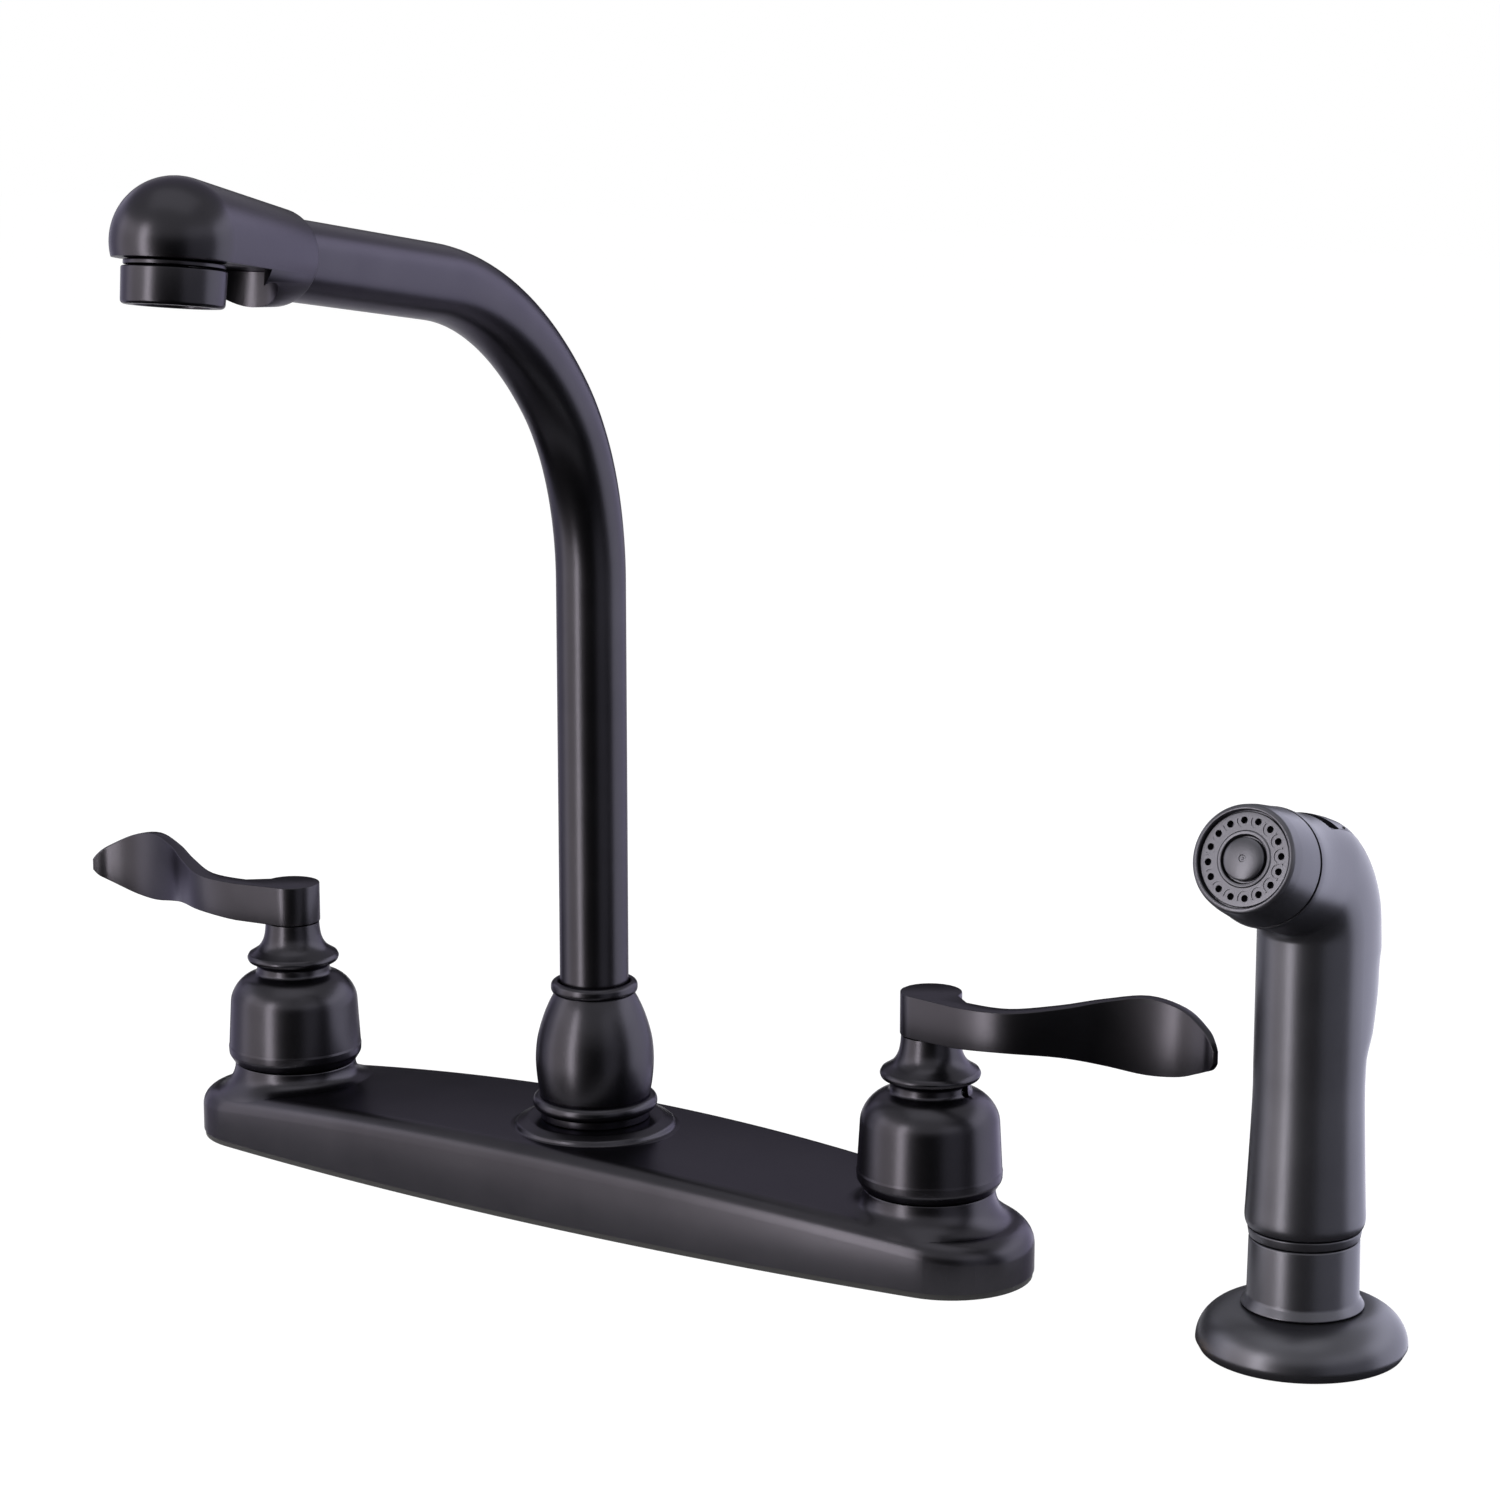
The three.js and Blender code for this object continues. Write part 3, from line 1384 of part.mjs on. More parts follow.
for (const [label, side] of [["left", -1], ["right", 1]]) {
  const column = new THREE.Group();
  column.position.x = side * holePitch;
  column.add(
    piece(`valve_body_${label}`, valveBody(side), brass),
    piece(`seat_seal_${label}`, seatSeal(), rubber),
    piece(`cartridge_${label}`, cartridge(), brass),
    piece(`fixed_disc_${label}`, valveDisc(discFoot, 0), ceramic),
    piece(`turning_disc_${label}`, valveDisc(turningDiscFoot, Math.PI / 2), ceramic),
    piece(`stem_${label}`, stem(), brass),
    piece(`shank_washer_${label}`, lockWasher(shankRadius, shankWasherRadius), steel),
    piece(`shank_nut_${label}`, lockNut(shankRadius, shankNutSize), brass),
    piece(`handle_base_${label}`, handleBase(side), bronze),
    piece(`set_screw_${label}`, setScrew(side), steel),
    piece(`lever_screw_${label}`, leverScrew(), steel),
    piece(`lever_${label}`, lever(side), bronze),
  );
  const tube = piece(`cross_tube_${label}`, crossTube(), copper);
  tube.rotation.z = side > 0 ? 0 : Math.PI;
  faucet.add(column, tube);
}

const spout = new THREE.Group();
spout.rotation.z = radians(spoutTurn - 90);
spout.add(
  piece("spout_tube", spoutTube(), bronze),
  piece("spout_foot", spoutFoot(), brass),
  piece("spout_seal_lower", sealRing(0), rubber),
  piece("spout_seal_upper", sealRing(1), rubber),
  piece("spout_bushing", spoutBushing(), whitePlastic),
);
const head = new THREE.Group();
head.position.copy(onArm(armLength));
head.rotation.y = -radians(armSlope);
head.add(
  piece("spout_head", spoutHead(), bronze),
  piece("aerator_ring", aeratorRing(), bronze),
  piece("aerator_housing", aeratorHousing(), bronze),
  piece("aerator_screen", aeratorScreen(), whitePlastic),
  piece("aerator_washer", aeratorWasher(), rubber),
);
spout.add(head);
faucet.add(spout);

const sprayer = new THREE.Group();
sprayer.position.x = 2 * holePitch;
sprayer.add(
  piece("spray_flange", sprayFlange(), sprayBronze),
  piece("spray_guide", sprayGuide(), sprayBronze),
  piece("spray_washer", lockWasher(guideShankRadius, guideWasherRadius), steel),
  piece("spray_nut", lockNut(guideShankRadius, guideNutSize), blackPlastic),
  piece("spray_body", sprayBody(), sprayBronze),
  piece("hose_collar", hoseCollar(), sprayBronze),
  piece("hose_tail", hoseTail(), brass),
  piece("nozzle_collar", nozzleCollar(), sprayBronze),
  piece("nozzle_face", nozzleFace(), blackPlastic),
  piece("nozzle_button", nozzleButton(), blackPlastic),
  piece("trigger", trigger(), sprayBronze),
  piece("trigger_pin", triggerPin(), steel),
  piece("trigger_spring", triggerSpring(), steel),
  piece("spray_plunger", plunger(), brass),
  piece("plunger_seal", plungerSeal(), rubber),
);
faucet.add(sprayer);

export default faucet;
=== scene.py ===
# Two-handle kitchen faucet on a deck plate with a swivelling high spout and a side sprayer.
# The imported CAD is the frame; this script dresses it with smooth shapes and real finishes.
import math
import bmesh
import bpy
from mathutils import Matrix, Vector


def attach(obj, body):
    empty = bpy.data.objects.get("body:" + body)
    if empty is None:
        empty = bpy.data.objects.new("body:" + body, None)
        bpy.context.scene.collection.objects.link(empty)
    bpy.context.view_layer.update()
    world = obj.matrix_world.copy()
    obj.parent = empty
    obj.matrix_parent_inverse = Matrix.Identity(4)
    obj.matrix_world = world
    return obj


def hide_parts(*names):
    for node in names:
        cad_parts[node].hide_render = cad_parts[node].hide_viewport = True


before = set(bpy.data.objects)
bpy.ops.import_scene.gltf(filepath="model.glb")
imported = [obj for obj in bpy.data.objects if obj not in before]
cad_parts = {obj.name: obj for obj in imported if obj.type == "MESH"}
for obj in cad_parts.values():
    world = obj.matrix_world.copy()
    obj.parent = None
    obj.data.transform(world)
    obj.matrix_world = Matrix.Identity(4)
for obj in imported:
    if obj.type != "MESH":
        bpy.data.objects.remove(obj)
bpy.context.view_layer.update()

mm = 0.001  # every size below is in mm, unless its name or comment says metres
fullTurn = 2 * math.pi
weld = 1e-6  # metres; points closer than this become one
tolerance = 0.1  # for picking corners by their height
roundSteps = 96  # facets round a turned piece
cornerSteps = 8  # facets round a corner of a turned piece's outline
creaseAngle = math.radians(38)  # edges sharper than this stay creased in the shading
layout = {
    "holePitch": 101.6,  # sink holes, 4 inches apart
    "spoutHeading": 11.3 - 90,  # degrees from +X to the spout's arm
}
print("frame loaded:", len(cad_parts), "nodes")


def linearColour(hexColour):
    # sRGB hex to the linear values that Blender's sockets take
    parts = [int(hexColour[i:i + 2], 16) / 255 for i in (1, 3, 5)]
    return tuple(c / 12.92 if c <= 0.04045 else ((c + 0.055) / 1.055) ** 2.4 for c in parts) + (1.0,)


def addNode(tree, kind, settings=None, links=None):
    # one node, its own settings and socket values, and what feeds its sockets
    node = tree.nodes.new(kind)
    for key, value in (settings or {}).items():
        if isinstance(key, int) or key in node.inputs:
            node.inputs[key].default_value = value
        else:
            setattr(node, key, value)
    for key, source in (links or {}).items():
        tree.links.new(source, node.inputs[key])
    return node


def profileWire(corners, closed=True):
    # a wire in the XZ plane through [radius, height, rounding] in mm
    mesh = bmesh.new()
    points = [Vector((c[0], 0, c[1])) * mm for c in corners]
    verts = [mesh.verts.new(p) for p in points]
    pairs = list(zip(verts, verts[1:]))
    onAxis = corners[0][0] == 0 and corners[-1][0] == 0
    if closed and not onAxis:
        pairs.append((verts[-1], verts[0]))
    for pair in pairs:
        mesh.edges.new(pair)
    for i, corner in enumerate(corners):
        if len(corner) < 3:
            continue
        before = points[i - 1] - points[i]
        after = points[(i + 1) % len(points)] - points[i]
        reach = corner[2] * mm / math.tan(before.angle(after) / 2)
        bmesh.ops.bevel(mesh, geom=[verts[i]], offset=reach, offset_type="OFFSET",
                        segments=cornerSteps, profile=0.5, affect="VERTICES", material=-1)
    return mesh


def cleanUp(mesh):
    # doubles merged, then the faces turned outwards
    bmesh.ops.remove_doubles(mesh, verts=mesh.verts[:], dist=weld)
    bmesh.ops.recalc_face_normals(mesh, faces=mesh.faces[:])
    return mesh


def spinSolid(corners, steps=roundSteps):
    mesh = profileWire(corners)
    bmesh.ops.spin(mesh, geom=mesh.verts[:] + mesh.edges[:], cent=(0, 0, 0), axis=(0, 0, 1),
                   angle=fullTurn, steps=steps, use_merge=True)
    return cleanUp(mesh)


def bevelSharp(mesh, width, segments, angle):
    sharp = [e for e in mesh.edges if e.is_manifold and e.calc_face_angle() > math.radians(angle)]
    bmesh.ops.bevel(mesh, geom=sharp, offset=width * mm, offset_type="OFFSET", segments=segments,
                    profile=0.5, affect="EDGES", material=-1, clamp_overlap=True)
    return mesh


def joined(*meshes):
    # several closed shells in one mesh
    whole = bmesh.new()
    for mesh in meshes:
        part = bpy.data.meshes.new("part")
        mesh.to_mesh(part)
        mesh.free()
        whole.from_mesh(part)
        bpy.data.meshes.remove(part)
    return whole


def carve(mesh, *cutters, operation="DIFFERENCE"):
    # boolean work through the modifier, with its result read back as a mesh
    target = holder(mesh)
    tools = []
    for cutter in cutters:
        tool = holder(cutter)
        tools.append(tool)
        step = target.modifiers.new("cut", "BOOLEAN")
        step.operation = operation
        step.solver = "EXACT"
        step.object = tool
    bpy.context.view_layer.update()
    result = bmesh.new()
    result.from_object(target, bpy.context.evaluated_depsgraph_get())
    for used in [target] + tools:
        data = used.data
        bpy.data.objects.remove(used)
        bpy.data.meshes.remove(data)
    bmesh.ops.remove_doubles(result, verts=result.verts[:], dist=weld)
    return result


def holder(mesh):
    data = bpy.data.meshes.new("temporary")
    mesh.to_mesh(data)
    mesh.free()
    made = bpy.data.objects.new("temporary", data)
    bpy.context.scene.collection.objects.link(made)
    return made


def moved(mesh, *steps):
    for step in steps:
        bmesh.ops.transform(mesh, matrix=step, verts=mesh.verts[:])
    if any(step.determinant() < 0 for step in steps):
        bmesh.ops.recalc_face_normals(mesh, faces=mesh.faces[:])
    return mesh


def turn(degrees, axis):
    return Matrix.Rotation(math.radians(degrees), 4, axis)


def shift(x, y, z):
    return Matrix.Translation(Vector((x, y, z)) * mm)


def drill(radius, foot, top, segments=32):
    # an upright round cutter
    cutter = bmesh.new()
    bmesh.ops.create_cone(cutter, cap_ends=True, segments=segments, radius1=radius * mm,
                          radius2=radius * mm, depth=(top - foot) * mm)
    return moved(cutter, shift(0, 0, (foot + top) / 2))


def block(x, y, z):
    # a box of this size round the origin
    box = bmesh.new()
    bmesh.ops.create_cube(box, size=1)
    return moved(box, Matrix.Diagonal((x * mm, y * mm, z * mm, 1)))


def growRing(mesh, edges, verts):
    # the next ring of a loft: its edges, and its corners in the last ring's order
    grown = bmesh.ops.extrude_edge_only(mesh, edges=edges)["geom"]
    fresh = {v for v in grown if isinstance(v, bmesh.types.BMVert)}
    follows = {edge.other_vert(v): v for v in fresh for edge in v.link_edges}
    ring = [e for e in grown if isinstance(e, bmesh.types.BMEdge) and all(v in fresh for v in e.verts)]
    return ring, [follows[v] for v in verts]


def smoothLine(points, steps):
    # Catmull-Rom through rows of numbers
    line = []
    for i in range(len(points) - 1):
        a = points[max(i - 1, 0)]
        b, c = points[i], points[i + 1]
        d = points[min(i + 2, len(points) - 1)]
        for k in range(steps):
            t = k / steps
            line.append([0.5 * (2 * q + (r - p) * t + (2 * p - 5 * q + 4 * r - s) * t * t
                                + (3 * q - p - 3 * r + s) * t ** 3) for p, q, r, s in zip(a, b, c, d)])
    line.append(list(points[-1]))
    return line


def addPiece(name, mesh, body, finish, nodes=()):
    data = bpy.data.meshes.new(name)
    mesh.to_mesh(data)
    mesh.free()
    for face in data.polygons:
        face.use_smooth = True
    data.set_sharp_from_angle(angle=creaseAngle)
    piece = bpy.data.objects.new(name, data)
    bpy.context.scene.collection.objects.link(piece)
    data.materials.append(finish)
    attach(piece, body)
    if nodes:
        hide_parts(*nodes)
    return piece


# every finish has a slow drift of tone and gloss under a fine grain
finishRecipe = {
    "patch": 18.0,  # size of the drift's patches
    "driftDetail": 3.0,
    "driftRoughness": 0.55,
    "grainDetail": 2.0,
    "glossSpread": 0.05,  # roughness either side of the middle value
    "grainDepth": 0.05,
}


def makeFinish(name, colour, darkColour, metallic, roughness, grain, bump, rimTint="#ffffff"):
    # grain is the grain's size in mm: the real one is under a tenth and is drawn coarser, so that it
    # shows; rimTint is a metal's tint towards its edges
    r = finishRecipe
    material = bpy.data.materials.new(name)
    material.use_nodes = True
    tree = material.node_tree
    tree.nodes.clear()
    place = addNode(tree, "ShaderNodeTexCoord").outputs["Object"]
    drift = addNode(tree, "ShaderNodeTexNoise",
                    {"Scale": 1 / (r["patch"] * mm), "Detail": r["driftDetail"],
                     "Roughness": r["driftRoughness"]},
                    {"Vector": place})
    tone = addNode(tree, "ShaderNodeMix", {"data_type": "RGBA"}, {"Factor": drift.outputs["Fac"]})
    tone.inputs[6].default_value = linearColour(darkColour)
    tone.inputs[7].default_value = linearColour(colour)
    grainNoise = addNode(tree, "ShaderNodeTexNoise", {"Scale": 1 / (grain * mm), "Detail": r["grainDetail"]},
                         {"Vector": place})
    gloss = addNode(tree, "ShaderNodeMath", {"operation": "ADD"},
                    {0: drift.outputs["Fac"], 1: grainNoise.outputs["Fac"]})
    rough = addNode(tree, "ShaderNodeMapRange",
                    {"From Max": 2.0, "To Min": roughness - r["glossSpread"],
                     "To Max": roughness + r["glossSpread"]},
                    {"Value": gloss.outputs[0]})
    relief = addNode(tree, "ShaderNodeBump", {"Strength": bump, "Distance": r["grainDepth"] * mm},
                     {"Height": grainNoise.outputs["Fac"]})
    shader = addNode(tree, "ShaderNodeBsdfPrincipled",
                     {"Metallic": metallic, "Specular Tint": linearColour(rimTint)},
                     {"Base Color": tone.outputs[2], "Roughness": rough.outputs[0],
                      "Normal": relief.outputs[0]})
    addNode(tree, "ShaderNodeOutputMaterial", links={"Surface": shader.outputs[0]})
    return material


# colour, dark colour, metallic, roughness, grain, bump and rim tint of each
finishes = {
    # brass darkened in a bath and waxed: near black, satin, with a violet cast
    "bronze": makeFinish("oilRubbedBronze", "#353438", "#2b2a2e", 1.0, 0.31, 0.5, 0.1, "#c6c4cc"),
    # the same colour sprayed on moulded ABS: lighter, bluer and duller
    "sprayBronze": makeFinish("sprayedBronzeAbs", "#4b4b50", "#404045", 0.9, 0.36, 0.4, 0.12, "#d4d4da"),
    # turned bars: yellow, with the soft gloss of fine tool marks
    "brass": makeFinish("machinedBrass", "#c9a45c", "#a9823f", 1.0, 0.34, 0.4, 0.2),
    # drawn tube, a little browned by the air
    "copper": makeFinish("drawnCopperTube", "#c77b52", "#a65f3a", 1.0, 0.34, 0.5, 0.15),
    # screws, washers and springs: pale grey under a thin bright coat
    "steel": makeFinish("zincPlatedSteel", "#b9bcc0", "#9a9da2", 1.0, 0.34, 0.4, 0.15),
    # gaskets and seals: black and matt
    "rubber": makeFinish("mouldedRubber", "#1c1c1d", "#141414", 0.0, 0.75, 0.3, 0.3),
    # dyed acetal: off-black with a faint sheen
    "blackPlastic": makeFinish("mouldedBlackAcetal", "#2b2b30", "#232327", 0.0, 0.45, 0.4, 0.1),
    # unpigmented acetal: milky white with a waxy gloss
    "whitePlastic": makeFinish("naturalAcetal", "#e4e1d8", "#d8d4c8", 0.0, 0.42, 0.6, 0.08),
    # the valve's discs: cream and lapped nearly to a polish
    "ceramic": makeFinish("lappedAlumina", "#efece5", "#e6e2da", 0.0, 0.2, 0.3, 0.02),
}
slotFinishes = {
    "oil_rubbed_bronze": "bronze",
    "coated_abs": "sprayBronze",
    "raw_brass": "brass",
    "copper_tube": "copper",
    "steel": "steel",
    "black_rubber": "rubber",
    "black_plastic": "blackPlastic",
    "white_acetal": "whitePlastic",
    "ceramic_disc": "ceramic",
}


def dressFrame():
    # a CAD node comes in with its material slot's name, and takes the finish of that slot
    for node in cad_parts.values():
        for entry in node.material_slots:
            entry.material = finishes[slotFinishes[entry.material.name.split(".")[0]]]


dressFrame()
print("frame dressed")

plate = {
    "length": 257,
    "width": 55.6,
    "sideRadius": 900,  # bow of the long sides
    "foot": 1.5,  # it stands on the gasket
    "top": 15.5,  # at the handles
    "crown": 4.5,  # the arched top rises by this much over the middle
    "slices": 48,  # cuts across its length that let the top follow the arch
    "straight": 0.5,  # the lowest part of the side, which the arch leaves level
    "edge": 5,  # rounding of the upper edge
    "edgeSteps": 10,
    "endSteps": 28,  # facets of a round end and of a bowed side
    "sideSteps": 40,
    "wall": 2.5,
    "handleBoss": 16.4,
    "handleBossTop": 21.3,
    "handleBossFlare": 5.2,
    "handleBossEdge": 0.5,
    "handleBossSkirt": 0.05,  # how far the flare's thin edge goes into the plate
    "sunk": 1,  # depth of the boss in the plate
    "spoutBoss": 20,
    # the spout's boss is a bulging ring: reach past its radius, height above the plate, rounding
    "spoutBossCorners": [(3.2, -1.5), (2.4, -0.2), (1, 0.05, 0.8), (0.5, 1.2, 0.9), (-2.2, 2.24, 2.6)],
    "gasketInset": 0.4,
    "gasketGap": 0.02,
}


def crownRise(x):
    # how far the arch lifts the top at this place, over its height at the handles
    return plate["crown"] * (1 - (x / layout["holePitch"]) ** 2)


def outlineArcs():
    # the outline's four arcs meet smoothly: two bowed sides and two round ends
    half, side = plate["length"] / 2, plate["sideRadius"]
    sideCentre = side - plate["width"] / 2
    end = (side ** 2 - sideCentre ** 2 - half ** 2) / (2 * (side - half))
    return sideCentre, end, half - end, math.atan2(half - end, sideCentre)


def plateOutline(mesh, height, inset=0):
    side, endSteps, sideSteps = plate["sideRadius"], plate["endSteps"], plate["sideSteps"]
    sideCentre, end, endCentre, sideTurn = outlineArcs()
    arcs = [
        # centre, radius, start, sweep, facets
        ((endCentre, 0), end, -math.pi / 2 + sideTurn, math.pi - 2 * sideTurn, endSteps),
        ((0, -sideCentre), side, math.pi / 2 - sideTurn, 2 * sideTurn, sideSteps),
        ((-endCentre, 0), end, math.pi / 2 + sideTurn, math.pi - 2 * sideTurn, endSteps),
        ((0, sideCentre), side, -math.pi / 2 - sideTurn, 2 * sideTurn, sideSteps),
    ]
    for (x, y), radius, start, sweep, steps in arcs:
        reach = radius - inset
        place = Vector((x + reach * math.cos(start), y + reach * math.sin(start), height))
        seed = mesh.verts.new(place * mm)
        bmesh.ops.spin(mesh, geom=[seed], cent=Vector((x, y, height)) * mm, axis=(0, 0, 1),
                       angle=sweep, steps=steps, use_duplicate=False)
    bmesh.ops.remove_doubles(mesh, verts=mesh.verts[:], dist=weld)


# camera at the photograph's angle, in metres and degrees
view = {
    "place": (0.5769, -0.7939, 0.3227),
    "angles": (78.289, 0, 33.65),
    "lens": 93.96,
    "sensor": 36,
    "reach": 20,
}
# name, place, aim, size, watts and colour of each, in metres; the tall ones reach below the table's edge
lamps = [
    ("stripSoftbox", (-0.21, -1.08, 0.18), (0, 0, 0.18), (0.2, 1.15), 11.5, "#fffaf8"),
    ("leftFrontSoftbox", (-0.78, -0.78, 0.2), (0, 0, 0.2), (0.9, 1.2), 8.4, "#fff8f6"),
    ("leftSoftbox", (-1.05, -0.1, 0.2), (0, 0, 0.2), (1.3, 1.2), 8.0, "#f4f4ff"),
    ("rightSoftbox", (0.56, 0.80, 0.2), (0.05, 0, 0.2), (1.6, 1.2), 20.0, "#f4f4ff"),
    ("frontFill", (1.05, -0.25, 0.2), (0, 0, 0.2), (0.9, 1.2), 2.4, "#f4f4ff"),
    ("topSoftbox", (0.1, -0.25, 1.25), (0, 0, 0.1), (1.2, 0.8), 2.5, "#ffffff"),
]
# what stands round the object, in metres: the camera sees a wide white floor, while reflections see
# white paper close to the object and behind it, and past the paper's edge a dark room that lies lower
studio = {
    "ambient": 0.35,  # strength of the white world as light; seen directly it is 1
    "floorHalf": 3.0,
    "floorDepth": 0.0002,
    "floorGlow": 1.09,  # strength of the floor's own white
    "floorGlowShare": 0.88,  # the rest of what the camera sees there is lit paper, which keeps the shadow
    "paperMargin": 34,  # mm past the deck plate's outline
    "paperDepth": 0.0003,
    "rearPaper": (-0.45, 0.72),
    "rearPaperHalf": (0.5, 0.6),
    "roomRadius": 2.6,
    "roomSides": 48,
    "roomDrop": 0.45,
    "roomWall": 1.25,
}


def aimed(place, target):
    return (Vector(target) - Vector(place)).to_track_quat("-Z", "Y").to_euler()


def placeCamera(scene):
    camera = bpy.data.objects.new("photoCamera", bpy.data.cameras.new("photoCamera"))
    camera.location = view["place"]
    camera.rotation_euler = [math.radians(a) for a in view["angles"]]
    camera.data.lens = view["lens"]
    camera.data.sensor_width = view["sensor"]
    camera.data.clip_end = view["reach"]
    scene.collection.objects.link(camera)
    scene.camera = camera
    scene.view_settings.view_transform = "Standard"


def hangLamps(scene):
    for name, place, target, size, watts, hexColour in lamps:
        lamp = bpy.data.lights.new(name, "AREA")
        lamp.shape = "RECTANGLE"
        lamp.size, lamp.size_y = size
        lamp.energy = watts
        lamp.color = linearColour(hexColour)[:3]
        stand = bpy.data.objects.new(name, lamp)
        stand.location = place
        stand.rotation_euler = aimed(place, target)
        stand.visible_camera = False
        scene.collection.objects.link(stand)


def seenDirectly(tree):
    # 1 for what the camera sees, also by way of a mirror or through glass
    seen = addNode(tree, "ShaderNodeLightPath")
    direct = addNode(tree, "ShaderNodeMath", {"operation": "MAXIMUM"},
                     {0: seen.outputs["Is Camera Ray"], 1: seen.outputs["Is Transmission Ray"]})
    both = addNode(tree, "ShaderNodeMath", {"operation": "MAXIMUM"},
                   {0: direct.outputs[0], 1: seen.outputs["Is Glossy Ray"]})
    return both.outputs[0]


def lightWorld(scene):
    world = bpy.data.worlds.new("studio")
    scene.world = world
    world.use_nodes = True
    tree = world.node_tree
    tree.nodes.clear()
    strength = addNode(tree, "ShaderNodeMapRange", {"To Min": studio["ambient"], "To Max": 1.0},
                       {"Value": seenDirectly(tree)})
    backdrop = addNode(tree, "ShaderNodeBackground", {"Color": linearColour("#ffffff")},
                       {"Strength": strength.outputs[0]})
    addNode(tree, "ShaderNodeOutputWorld", links={"Surface": backdrop.outputs[0]})


def floorFinish():
    # white paper sweep: white to the camera, with the object's soft shadow laid over it
    material = bpy.data.materials.new("whitePaperSweep")
    material.use_nodes = True
    tree = material.node_tree
    tree.nodes.clear()
    paper = addNode(tree, "ShaderNodeBsdfDiffuse", {"Color": linearColour("#ffffff")})
    glow = addNode(tree, "ShaderNodeEmission",
                   {"Color": linearColour("#ffffff"), "Strength": studio["floorGlow"]})
    share = addNode(tree, "ShaderNodeMath", {"operation": "MULTIPLY", 1: studio["floorGlowShare"]},
                    {0: seenDirectly(tree)})
    mixed = addNode(tree, "ShaderNodeMixShader", None,
                    {0: share.outputs[0], 1: paper.outputs[0], 2: glow.outputs[0]})
    addNode(tree, "ShaderNodeOutputMaterial", links={"Surface": mixed.outputs[0]})
    return material


def addStage(name, mesh, depth, finish):
    data = bpy.data.meshes.new(name)
    mesh.to_mesh(data)
    mesh.free()
    data.materials.append(finish)
    thing = bpy.data.objects.new(name, data)
    thing.location = (0, 0, -depth)
    bpy.context.scene.collection.objects.link(thing)
    return thing


def layFloor():
    white = floorFinish()
    wide = bmesh.new()
    bmesh.ops.create_grid(wide, x_segments=1, y_segments=1, size=studio["floorHalf"])
    sweep = addStage("studioFloor", wide, studio["floorDepth"], white)
    sweep.visible_glossy = sweep.visible_shadow = False

    paper = bmesh.new()
    plateOutline(paper, 0, -studio["paperMargin"])
    bmesh.ops.contextual_create(paper, geom=paper.edges[:])
    (x, y), (halfX, halfY) = studio["rearPaper"], studio["rearPaperHalf"]
    for vert in bmesh.ops.create_grid(paper, x_segments=1, y_segments=1, size=1.0)["verts"]:
        vert.co = (vert.co.x * halfX + x, vert.co.y * halfY + y, 0)
    sheet = addStage("tablePaper", paper, studio["paperDepth"], white)
    sheet.visible_camera = False


def buildRoom():
    room = bmesh.new()
    ground = bmesh.ops.create_circle(room, cap_ends=True, segments=studio["roomSides"],
                                     radius=studio["roomRadius"])["verts"]
    edges = list({e for v in ground for e in v.link_edges})
    wall = bmesh.ops.extrude_edge_only(room, edges=edges)["geom"]
    bmesh.ops.translate(room, verts=[v for v in wall if isinstance(v, bmesh.types.BMVert)],
                        vec=(0, 0, studio["roomWall"]))
    # matt black paint, so that reflections past the paper stay dark
    dark = makeFinish("darkStudioFloor", "#0b0b0c", "#060606", 0.0, 0.9, 1.0, 0.0)
    screen = addStage("darkStudio", room, studio["roomDrop"], dark)
    screen.visible_camera = screen.visible_diffuse = screen.visible_shadow = False


placeCamera(bpy.context.scene)
hangLamps(bpy.context.scene)
lightWorld(bpy.context.scene)
layFloor()
buildRoom()
print("stage, camera and lamps ready")


def raisedOutline(foot, top, inset=0):
    # a solid slab with the plate's outline
    body = bmesh.new()
    plateOutline(body, foot, inset)
    sheet = bmesh.ops.contextual_create(body, geom=body.edges[:])["faces"]
    grown = bmesh.ops.extrude_face_region(body, geom=sheet)["geom"]
    upper = [v for v in grown if isinstance(v, bmesh.types.BMVert)]
    bmesh.ops.translate(body, verts=upper, vec=(0, 0, (top - foot) * mm))
    bmesh.ops.recalc_face_normals(body, faces=body.faces[:])
    return body


def buildPlate():
    body = raisedOutline(plate["foot"], plate["top"])
    rim = [e for e in body.edges if all(v.co.z > (plate["top"] - tolerance) * mm for v in e.verts)]
    bmesh.ops.bevel(body, geom=rim, offset=plate["edge"] * mm, offset_type="OFFSET",
                    segments=plate["edgeSteps"], profile=0.5, affect="EDGES", material=-1)
    bmesh.ops.recalc_face_normals(body, faces=body.faces[:])
    # the underside is inset and pushed up, which leaves a hollow with a wall round it
    under = [f for f in body.faces if f.normal.z < -0.9]
    bmesh.ops.inset_region(body, faces=under, thickness=plate["wall"] * mm, use_even_offset=True)
    bmesh.ops.translate(body, verts=list({v for f in under for v in f.verts}),
                        vec=(0, 0, (plate["top"] - plate["foot"] - 2 * plate["wall"]) * mm))
    for k in range(1, plate["slices"]):
        x = plate["length"] * (k / plate["slices"] - 0.5)
        bmesh.ops.bisect_plane(body, geom=body.verts[:] + body.edges[:] + body.faces[:],
                               plane_co=(x * mm, 0, 0), plane_no=(1, 0, 0))
    for vert in body.verts:
        if vert.co.z > (plate["foot"] + plate["straight"]) * mm:
            vert.co.z += crownRise(vert.co.x / mm) * mm
    return body


def edgeDrop(x, y):
    # how far the rounded upper edge has fallen at this place
    side, edge = plate["sideRadius"], plate["edge"]
    sideCentre, end, endCentre, sideTurn = outlineArcs()
    past = abs(x) - endCentre
    if past > 0 and math.atan2(abs(y), past) < math.pi / 2 - sideTurn:
        inside = end - math.hypot(past, y)
    else:
        inside = side - math.hypot(x, abs(y) + sideCentre)
    away = min(edge, max(0, edge - inside))
    return edge - math.sqrt(edge ** 2 - away ** 2)


